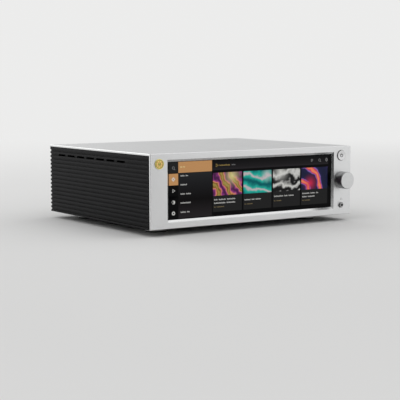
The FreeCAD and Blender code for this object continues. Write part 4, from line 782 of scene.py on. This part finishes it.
waveDetailScale = 2
pictures = [
    {   # slanted folds in plum, magenta, orange and brown under a soft olive light
        "wave": "BANDS", "axis": "X", "turn": 32, "scale": 17, "distortion": 7, "detail": 3,
        "stops": [(0.0, (0.05, 0.012, 0.05)), (0.3, (0.22, 0.03, 0.17)), (0.5, (0.48, 0.13, 0.16)),
                  (0.68, (0.52, 0.22, 0.07)), (0.84, (0.14, 0.06, 0.02)), (1.0, (0.30, 0.22, 0.05))],
        "glow": {"at": (33, 27), "size": 21, "color": (0.56, 0.52, 0.22)},
    },
    {   # teal waves with a pale crest
        "wave": "BANDS", "axis": "X", "turn": 78, "scale": 16, "distortion": 5, "detail": 4,
        "stops": [(0.0, (0.0, 0.09, 0.10)), (0.35, (0.008, 0.22, 0.19)), (0.8, (0.015, 0.36, 0.29)),
                  (0.93, (0.22, 0.36, 0.33)), (1.0, (0.46, 0.40, 0.42))],
        "glow": {"at": (42, 25), "size": 14, "color": (0.50, 0.44, 0.46)},
    },
    {   # bands of cloud, black to pale grey
        "wave": "BANDS", "axis": "Z", "turn": 6, "scale": 20, "distortion": 9, "detail": 5,
        "stops": [(0.0, (0.006, 0.006, 0.006)), (0.3, (0.02, 0.02, 0.02)), (0.45, (0.16, 0.16, 0.155)),
                  (0.8, (0.34, 0.34, 0.325)), (1.0, (0.52, 0.52, 0.50))],
        "glow": {"at": (14, 28), "size": 20, "color": (0.58, 0.58, 0.55)},
    },
    {   # thin arcs of violet, red and orange on navy
        "wave": "RINGS", "axis": "X", "turn": 0, "scale": 13, "distortion": 3.5, "detail": 4,
        "stops": [(0.0, (0.010, 0.012, 0.035)), (0.62, (0.014, 0.014, 0.055)), (0.78, (0.20, 0.12, 0.40)),
                  (0.88, (0.50, 0.02, 0.07)), (1.0, (0.72, 0.20, 0.10))],
        "glow": {"at": (17, 9), "size": 17, "color": (0.52, 0.02, 0.06)},
    },
]


def pictureMaterial(name, look, left, bottom):
    material, tree, place, shader = glowingGlass(name)
    glow = look["glow"]
    reach = glow["size"] * mm
    across, up = (value * mm / reach for value in glow["at"])
    toCorner = addNode(tree, "Mapping", {"Location": [-value for value in onScreen(left, bottom)]})
    slant = addNode(tree, "Mapping", {"Rotation": (0, math.radians(look["turn"]), 0)})
    pattern = addNode(
        tree, "TexWave",
        {"Scale": look["scale"], "Distortion": look["distortion"], "Detail": look["detail"],
         "Detail Scale": waveDetailScale},
        wave_type=look["wave"], rings_direction="SPHERICAL", bands_direction=look["axis"])
    ramp = addRamp(tree, look["stops"])
    toGlow = addNode(tree, "Mapping", {"Location": (-across, 0, -up), "Scale": (1 / reach,) * 3})
    ball = addNode(tree, "TexGradient", gradient_type="QUADRATIC_SPHERE")
    lit = addBlend(tree, glow["color"])
    linkNodes(
        tree,
        (place, "Object", toCorner, "Vector"),
        (toCorner, "Vector", slant, "Vector"),
        (slant, "Vector", pattern, "Vector"),
        (pattern, "Fac", ramp, "Fac"),
        (toCorner, "Vector", toGlow, "Vector"),
        (toGlow, "Vector", ball, "Vector"),
        (ball, "Fac", lit, "Factor"),
        (ramp, "Color", lit, "A"),
        (lit, "Result", shader, "Emission Color"),
    )
    return material


def addScreen():
    lit = {name: litMaterial(f"screen_{name}", color) for name, color in screen["colors"].items()}
    corner, bottom, width = screen["corner"], screen["cardBottom"], screen["cardWidth"]
    for name, (plate, tones) in screen["shaded"].items():
        dress([screenPlate(*plate)], name, shadedScreen(name, plate[1], plate[3], tones))
    dress([screenPlate(*plate) for plate in screen["markPlates"]], "screen_marks", lit["tan"])
    cards = [screenPlate(left, bottom, width, screen["cardTop"] - bottom, corner)
             for left in screen["cardLeft"]]
    cards.append(screenPlate(*screen["cornerPlate"]))
    dress(cards, "screen_cards", lit["grey"])
    bottom = screen["pictureBottom"]
    for number, left in enumerate(screen["cardLeft"]):
        name = f"screen_picture_{number + 1}"
        picture = screenPlate(left, bottom, width, screen["cardTop"] - bottom, corner, screen["lift"])
        dress([picture], name, pictureMaterial(name, pictures[number], left, bottom))
    words, notes = [], []
    for middle, row in screen["menuRows"]:
        words += wordRow(screen["menuLeft"], middle, row, screen["text"])
    for left, rows, note in zip(screen["cardLeft"], screen["cardText"], screen["cardNote"]):
        left += screen["cardMargin"]
        for middle, row in rows:
            words += wordRow(left, middle, row, screen["text"])
        notes += wordRow(left, *note, screen["noteText"])
    for icon in screen["columnIcons"]:
        words += addIcon(*icon)
    dress(words, "screen_words", lit["pale"])
    dress(notes, "screen_notes", lit["bronze"])
    heading = wordRow(*screen["headingRow"], screen["text"]) + addIcon(*screen["headingIcon"])
    dress(heading, "screen_heading", lit["gold"])
    dress(wordRow(*screen["chosenRow"], screen["smallText"]), "screen_chosen_word", lit["yellow"])
    faint = wordRow(*screen["faintRow"], screen["smallText"])
    for icon in screen["faintIcons"]:
        faint += addIcon(*icon)
    dress(faint, "screen_faint_marks", lit["dim"])


addScreen()
print("the display's picture is made")


# the small marks and fittings of the front

frontMarks = {
    "proud": 0.04,           # mm, as all lengths here
    "sink": 0.01,
    "greyInk": (0.02, 0.02, 0.022),
    "paleInk": (0.16, 0.16, 0.165),
    "standby": {"radius": 2.8, "line": 0.9, "gap": (0, 70), "bar": 2.8, "back": -144.72, "thick": 0.18,
                "sides": 48},    # gaps as middle and width in degrees
    "phones": {"place": (159.5, 32.9), "radius": 1.65, "line": 0.32, "gap": (180, 170), "pad": (0.6, 1.1),
               "sides": 40, "drop": 0.55, "corner": 0.3},    # drop in pad heights, corner in pad widths
    # the outer ring is painted shade at the badge's rim, the inner ring and hub its pattern
    "badge": {"floor": -144.5, "thick": 0.17, "rings": ((5.75, 5.3), (2.1, 1.6)), "petals": 7,
              "petal": (3.75, 1.8, 2.4),                     # reach from the centre, width, length
              "corner": 0.45, "hub": 0.7, "ringSides": 48, "hubSides": 24},    # corner in petal widths
    "jackLiner": {"outer": 1.79, "wall": 0.12, "depth": 9, "mouth": 2.28, "sink": 0.05, "washer": 0.03},
    # a black band near the knob's cap, as painted shade
    "knobShadowRing": {"back": -156.55, "width": 0.3, "proud": 0.03, "wall": 0.4, "sides": 64},
}
# the dark olive of the outer ring is painted shade at the rim; the inner ring and hub are the badge's own
# pattern
badgeLinesAndRimShade = {"color": (0.16, 0.12, 0.02), "metal": 1, "rough": (0.35, 0.08), "mottle": (0.2, 900),
              "grain": (4000, 0.006)}
badgePetals = {**badgeLinesAndRimShade, "color": (0.97, 0.50, 0.22), "rough": (0.3, 0.08)}


def printedFinish(name, color, rough=0.5):    # ink or enamel with a slightly uneven edge and gloss
    return makeFinish(name, {
        "color": color, "gloss": 0.3, "rough": (rough, 0.08), "mottle": (0.1, 900), "grain": (4000, 0.004)})


def addStandbyMark(values, ink):
    middle = middleOf("power_button")
    back = values["back"] * mm
    outer, line, reach, thick = lengths(values, "radius", "line", "bar", "thick")
    ring = addRing((middle.x, back, middle.z), outer, outer - line, thick, values["sides"], values["gap"])
    bar = addPlate((middle.x, back, middle.z + outer - reach / 2), line, reach, thick)
    dress([ring, bar], "standby_symbol", ink, "power_button")


def addPhonesMark(values, ink, front, proud):
    x, z = inMetres(values["place"])
    outer, line = lengths(values, "radius", "line")
    width, height = inMetres(values["pad"])
    arch = addRing((x, front, z), outer, outer - line, proud, values["sides"], values["gap"])
    pads = []
    for side in (-1, 1):
        place = (x + side * (outer - line / 2), front, z - height * values["drop"])
        pads.append(addPlate(place, width, height, proud, width * values["corner"]))
    dress([arch] + pads, "headphone_mark", ink)


def addBadgeRelief(values):
    middle = middleOf("badge_disc")
    floor, thick, hub = lengths(values, "floor", "thick", "hub")
    centre = (middle.x, floor, middle.z)
    lines = [addRing(centre, outer * mm, inner * mm, thick, values["ringSides"])
             for outer, inner in values["rings"]]
    lines.append(addRing(centre, hub, 0, thick, values["hubSides"]))
    reach, width, length = inMetres(values["petal"])
    petal = addPlate((middle.x, floor, middle.z + reach), width, length, thick, width * values["corner"])
    toCentre = Matrix.Translation(Vector(centre))
    petals = []
    for number in range(values["petals"]):
        turn = Matrix.Rotation(2 * math.pi * number / values["petals"], 4, "Y")
        petals.append(copyPiece(petal, toCentre @ turn @ toCentre.inverted()))
    bpy.data.objects.remove(petal)
    dress(lines, "badge_lines_and_rim_shade", makeFinish("olive_lines_and_rim_shade", badgeLinesAndRimShade))
    dress(petals, "badge_petals", makeFinish("bright_brass", badgePetals))


def addJackLiner(values):
    middle = middleOf("headphone_nut")
    centre = (middle.x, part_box("headphone_jack")[0].y + values["sink"] * mm, middle.z)
    outer, wall, depth, mouth, washerThick = lengths(values, "outer", "wall", "depth", "mouth", "washer")
    tube = addRing(centre, outer, outer - wall, -depth)
    washer = addRing(centre, mouth, outer - wall, washerThick)
    dress([tube, washer], "headphone_jack_liner", made["black_plastic"], smooth=True)


# painted shade: a black band round the knob near its cap stands in for the chamfer's shade
def addKnobShadowRing(values):
    knobLow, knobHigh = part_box("control_knob")
    middle = (knobLow + knobHigh) / 2
    outer = (knobHigh.x - knobLow.x) / 2 + values["proud"] * mm
    centre = (middle.x, values["back"] * mm, middle.z)
    band = addRing(centre, outer, outer - values["wall"] * mm, values["width"] * mm, values["sides"])
    dress([band], "knob_shadow_ring", made["black_plastic"], "knob", smooth=True)


def addFrontMarks(values):
    greyInk = printedFinish("grey_ink", values["greyInk"])
    paleInk = printedFinish("pale_grey_ink", values["paleInk"])
    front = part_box("front_panel")[0].y + values["sink"] * mm
    addStandbyMark(values["standby"], greyInk)
    addPhonesMark(values["phones"], paleInk, front, values["proud"] * mm)
    addBadgeRelief(values["badge"])
    addJackLiner(values["jackLiner"])
    addKnobShadowRing(values["knobShadowRing"])


addFrontMarks(frontMarks)
print("the front's marks are made")


# the fittings and printed lines of the rear panel

rearMarks = {
    "proud": 0.04,           # mm, as all lengths here
    "sink": 0.01,
    "line": 0.4,
    "corner": 2.0,
    "ink": (0.62, 0.62, 0.61),
    "groups": {              # left, right, low, high
        "data_frame": (-55.5, 14.0, 18.6, 41.0),
        "digital_frame": (16.6, 72.6, 18.6, 56.0),
        "line_frame": (75.6, 95.0, 18.6, 56.0),
        "balanced_frame": (98.0, 163.8, 27.5, 64.5),
    },
    "pairLevels": (30.0, 45.6),
    "pairs": {"coaxial_sockets": ("orange", "orange"), "line_output_sockets": ("red", "white")},
    "ring": {"radii": (5.3, 4.25), "thick": 0.5, "sink": 0.02, "rough": 0.35, "sides": 48},
    "flangeReach": 4.9,      # from a round socket's axis to its flange
    "colors": {"orange": (0.75, 0.22, 0.02), "red": (0.55, 0.015, 0.015), "white": (0.75, 0.75, 0.73)},
    "balancedPins": ((-3.6, 1.8), (3.6, 1.8), (0, -4.1)),
    "balancedLevel": 46.0,
    "balancedPin": {"radius": 1.26, "back": 137.0, "length": 11.9, "tip": 0.6, "sides": 24},
    "inletPins": ((-7, -2), (0, 2), (7, -2)),
    "inletPin": {"size": (2.1, 4.1), "back": 137.0, "length": 12.85, "corner": 0.3},
    "network": {
        "mouth": (11.8, 7.6), "low": 23.0, "back": 137.5, "length": 12.6, "wall": 0.15, "corner": 0.2,
        "gap": 0.02, "plug": 0.4,
        "contacts": 8, "pitch": 1.02, "contact": (0.5, 0.35, 9.5), "contactBack": 138.0, "contactLevel": 23.4,
        "lamp": (2.6, 1.4, 0.12), "lampCorner": 0.3, "lampX": 4.9, "lampZ": 34.1, "face": 150.39,
        "lampRough": 0.2,
        "lamps": {"green": (-1, (0.02, 0.42, 0.05)), "amber": (1, (0.60, 0.25, 0.01))},
    },
    "tongues": {
        "usb": {"levels": (25.4, 33.6), "size": (11.3, 1.95, 8.5), "back": 138.0},
        "video": {"levels": (24.8,), "size": (11.5, 1.3, 7.65), "back": 141.6},
    },
    "optical": {
        "places": (23.98, 42.40), "level": 26.6, "back": 148.4, "color": (0.07, 0.07, 0.075), "rough": 0.4,
        "flap": (6.0, 6.0, 0.5, 0.8), "grip": (1.4, 3.4, 1.0, 0.3),    # width, height, thickness, corner
    },
}
whiteInk = printedFinish("white_ink", rearMarks["ink"])


def surfaceAt(node, x, z):    # where the rear of a node is, seen from behind, and which way it faces
    behind = 0.3    # metres
    return cadNodes[node].ray_cast(Vector((x, behind, z)), Vector((0, -1, 0)))[1:3]


def fillNetworkSocket(values):
    x = middleOf("network_socket").x
    width, height = inMetres(values["mouth"])
    back, gap, plugThick, wall, corner = lengths(values, "back", "gap", "plug", "wall", "corner")
    middle = (x, back, values["low"] * mm + height / 2)
    lining = addPlate(middle, width - gap, height - gap, -values["length"] * mm, corner, border=wall)
    plug = addPlate(middle, width, height, -plugThick)
    dress([lining, plug], "network_socket_lining", made["black_plastic"])

    wide, tall, long = inMetres(values["contact"])
    first = addPlate((x, values["contactBack"] * mm, values["contactLevel"] * mm), wide, tall, -long)
    halfRow = (values["contacts"] - 1) / 2
    contacts = [copyPiece(first, Matrix.Translation(((number - halfRow) * values["pitch"] * mm, 0, 0)))
                for number in range(values["contacts"])]
    bpy.data.objects.remove(first)
    dress(contacts, "network_socket_contacts", made["socket_gold"])

    wide, tall, thick = inMetres(values["lamp"])
    for name, (side, color) in values["lamps"].items():
        place = (x + side * values["lampX"] * mm, values["face"] * mm, values["lampZ"] * mm)
        lamp = addPlate(place, wide, tall, -thick, values["lampCorner"] * mm)
        lens = printedFinish(f"{name}_lens", color, values["lampRough"])
        dress([lamp], f"network_socket_{name}_lamp", lens)


def addTongues(values):
    for socket, look in values.items():
        x = middleOf(f"{socket}_socket").x
        wide, tall, long = inMetres(look["size"])
        tongues = [addPlate((x, look["back"] * mm, level * mm), wide, tall, -long)
                   for level in look["levels"]]
        dress(tongues, f"{socket}_socket_tongue", made["black_plastic"])


def addFlaps(values):
    flapGrey = printedFinish("flap_grey", values["color"], values["rough"])
    for number, x in enumerate(values["places"]):
        place = inMetres((x, values["back"], values["level"]))
        parts = []
        for wide, tall, thick, corner in (inMetres(values["flap"]), inMetres(values["grip"])):
            parts.append(addPlate(place, wide, tall, -thick, corner))
        dress(parts, f"optical_socket_flap_{number + 1}", flapGrey)


def addSocketRings(values):    # coloured rings on the round sockets
    look = values["ring"]
    outer, inner = inMetres(look["radii"])
    inks = {name: printedFinish(f"{name}_enamel", color, look["rough"])
            for name, color in values["colors"].items()}
    for node, colors in values["pairs"].items():
        x = middleOf(node).x
        for level, color in zip(values["pairLevels"], colors):
            flange = surfaceAt(node, x + values["flangeReach"] * mm, level * mm)[0]
            centre = (x, flange.y - look["sink"] * mm, level * mm)
            ring = addRing(centre, outer, inner, -look["thick"] * mm, look["sides"])
            dress([ring], f"{node}_{color}_ring_{round(level)}", inks[color])


def addPins(values):
    look = values["balancedPin"]
    radius, back, length, tip = lengths(look, "radius", "back", "length", "tip")
    pin = addRod((0, back + length / 2, 0), radius, length, look["sides"])
    roundEnd(pin, tip)
    smoothByAngle(pin)
    for node in ("balanced_output_left", "balanced_output_right"):
        x = middleOf(node).x
        pins = [copyPiece(pin, Matrix.Translation((x + dx * mm, 0, (values["balancedLevel"] + dz) * mm)))
                for dx, dz in values["balancedPins"]]
        dress(pins, f"{node}_pin_plating", made["socket_steel"])
    bpy.data.objects.remove(pin)


def addBlades(values):
    middle = middleOf("mains_inlet")
    blade = values["inletPin"]
    width, height = inMetres(blade["size"])
    blades = []
    for dx, dz in values["inletPins"]:
        place = (middle.x + dx * mm, blade["back"] * mm, middle.z + dz * mm)
        blades.append(addPlate(place, width, height, -blade["length"] * mm, blade["corner"] * mm))
    dress(blades, "mains_inlet_pin_plating", made["socket_steel"])


def addRearMarks(values):
    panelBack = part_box("rear_panel")[1].y - values["sink"] * mm
    frames = []
    for left, right, low, high in (inMetres(group) for group in values["groups"].values()):
        centre = ((left + right) / 2, panelBack, (low + high) / 2)
        frames.append(addPlate(
            centre, right - left, high - low, -values["proud"] * mm, values["corner"] * mm,
            border=values["line"] * mm))
    dress(frames, "rear_printed_frames", whiteInk)
    addSocketRings(values)
    addPins(values)
    fillNetworkSocket(values["network"])
    addTongues(values["tongues"])
    addFlaps(values["optical"])
    addBlades(values)


addRearMarks(rearMarks)
print("the rear's fittings are made")


# the mains rocker's marks, I and O

rockerMarks = {"line": 0.55, "bar": 3.4, "ring": 1.7, "reach": 4.6, "sink": 0.02, "thick": 0.1}    # mm


def addRockerMarks(values):
    middle = middleOf("mains_rocker")
    line, bar, radius, reach, sink, thick = lengths(values, "line", "bar", "ring", "reach", "sink", "thick")
    marks = [addPlate((0, 0, 0), line, bar, -thick), addRing((0, 0, 0), radius, radius - line, -thick)]
    for side, mark in zip((1, -1), marks):
        place, facing = surfaceAt("mains_rocker", middle.x, middle.z + side * reach)
        lean = Vector((0, 1, 0)).rotation_difference(facing).to_matrix().to_4x4()
        mark.data.transform(Matrix.Translation(place - facing * sink) @ lean)
    dress(marks, "mains_rocker_marks", whiteInk, "mains_rocker")


addRockerMarks(rockerMarks)
print("the rocker's marks are made")


# screws with a hexagon socket, in place of the plain heads

screws = {
    "head": (2.6, 1.8),      # mm, radius and height
    "shank": 1.5,
    "sides": 32,
    "socket": (1.35, 1.1),   # radius at the corners and depth
    "socketSides": 6,
    "round": 0.4,
}
screwSets = {                # for each length, the places of the heads' seats
    "rear_panel_screws": {
        "lengths": {12: [(x, 149.8, z) for x in (-172.4, 172.4) for z in (29.0, 57.5, 86.0)]},
        "finish": "black_steel"},
    "cover_screws": {"lengths": {4: [(x, 149.8, 104.5) for x in (-110, 0, 110)]}, "finish": "black_steel"},
    "tray_screws": {
        "lengths": {4: [(x, y, 10.0) for x in (-164.5, 164.5) for y in (-109.79, 2.2, 118.2)]},
        "finish": "black_steel", "down": True},
    "connector_screws": {
        "lengths": {7: [(-140.5, 152.8, 41.0), (-100.5, 152.8, 41.0)],
                    6: [(104.16, 151.8, 58.0), (123.16, 151.8, 34.0),
                        (138.58, 151.8, 58.0), (157.58, 151.8, 34.0)]},
        "finish": "zinc_steel"},
}


def modelScrew(values, length):    # head along +Y from its seat at the origin
    radius, height = inMetres(values["head"])
    screw = addRod((0, height / 2, 0), radius, height, values["sides"])
    pickFaces(screw, lambda face: face.normal.y < -endFace)
    bpy.ops.mesh.inset(thickness=(radius - values["shank"] * mm) * math.cos(math.pi / values["sides"]))
    bpy.ops.mesh.extrude_region_move(TRANSFORM_OT_translate={"value": (0, -length * mm, 0)})
    roundEnd(screw, values["round"] * mm)
    across, deep = inMetres(values["socket"])
    cutter = addRod((0, height, 0), across, 2 * deep, values["socketSides"])
    cut = screw.modifiers.new("socket", "BOOLEAN")
    cut.operation = "DIFFERENCE"
    cut.solver = "EXACT"
    cut.object = cutter
    pick([screw])
    bpy.ops.object.modifier_apply(modifier="socket")
    bpy.data.objects.remove(cutter)
    smoothByAngle(screw)
    return screw


def addScrews(values, sets):
    for node, look in sets.items():
        turn = Matrix.Rotation(math.radians(-90), 4, "X") if look.get("down") else Matrix.Identity(4)
        copies = []
        for length, places in look["lengths"].items():
            screw = modelScrew(values, length)
            copies += [copyPiece(screw, Matrix.Translation(inMetres(place)) @ turn) for place in places]
            bpy.data.objects.remove(screw)
        piece = dress(copies, f"{node}_with_sockets", made[look["finish"]])
        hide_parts(node)


addScrews(screws, screwSets)
print("the screws are made")
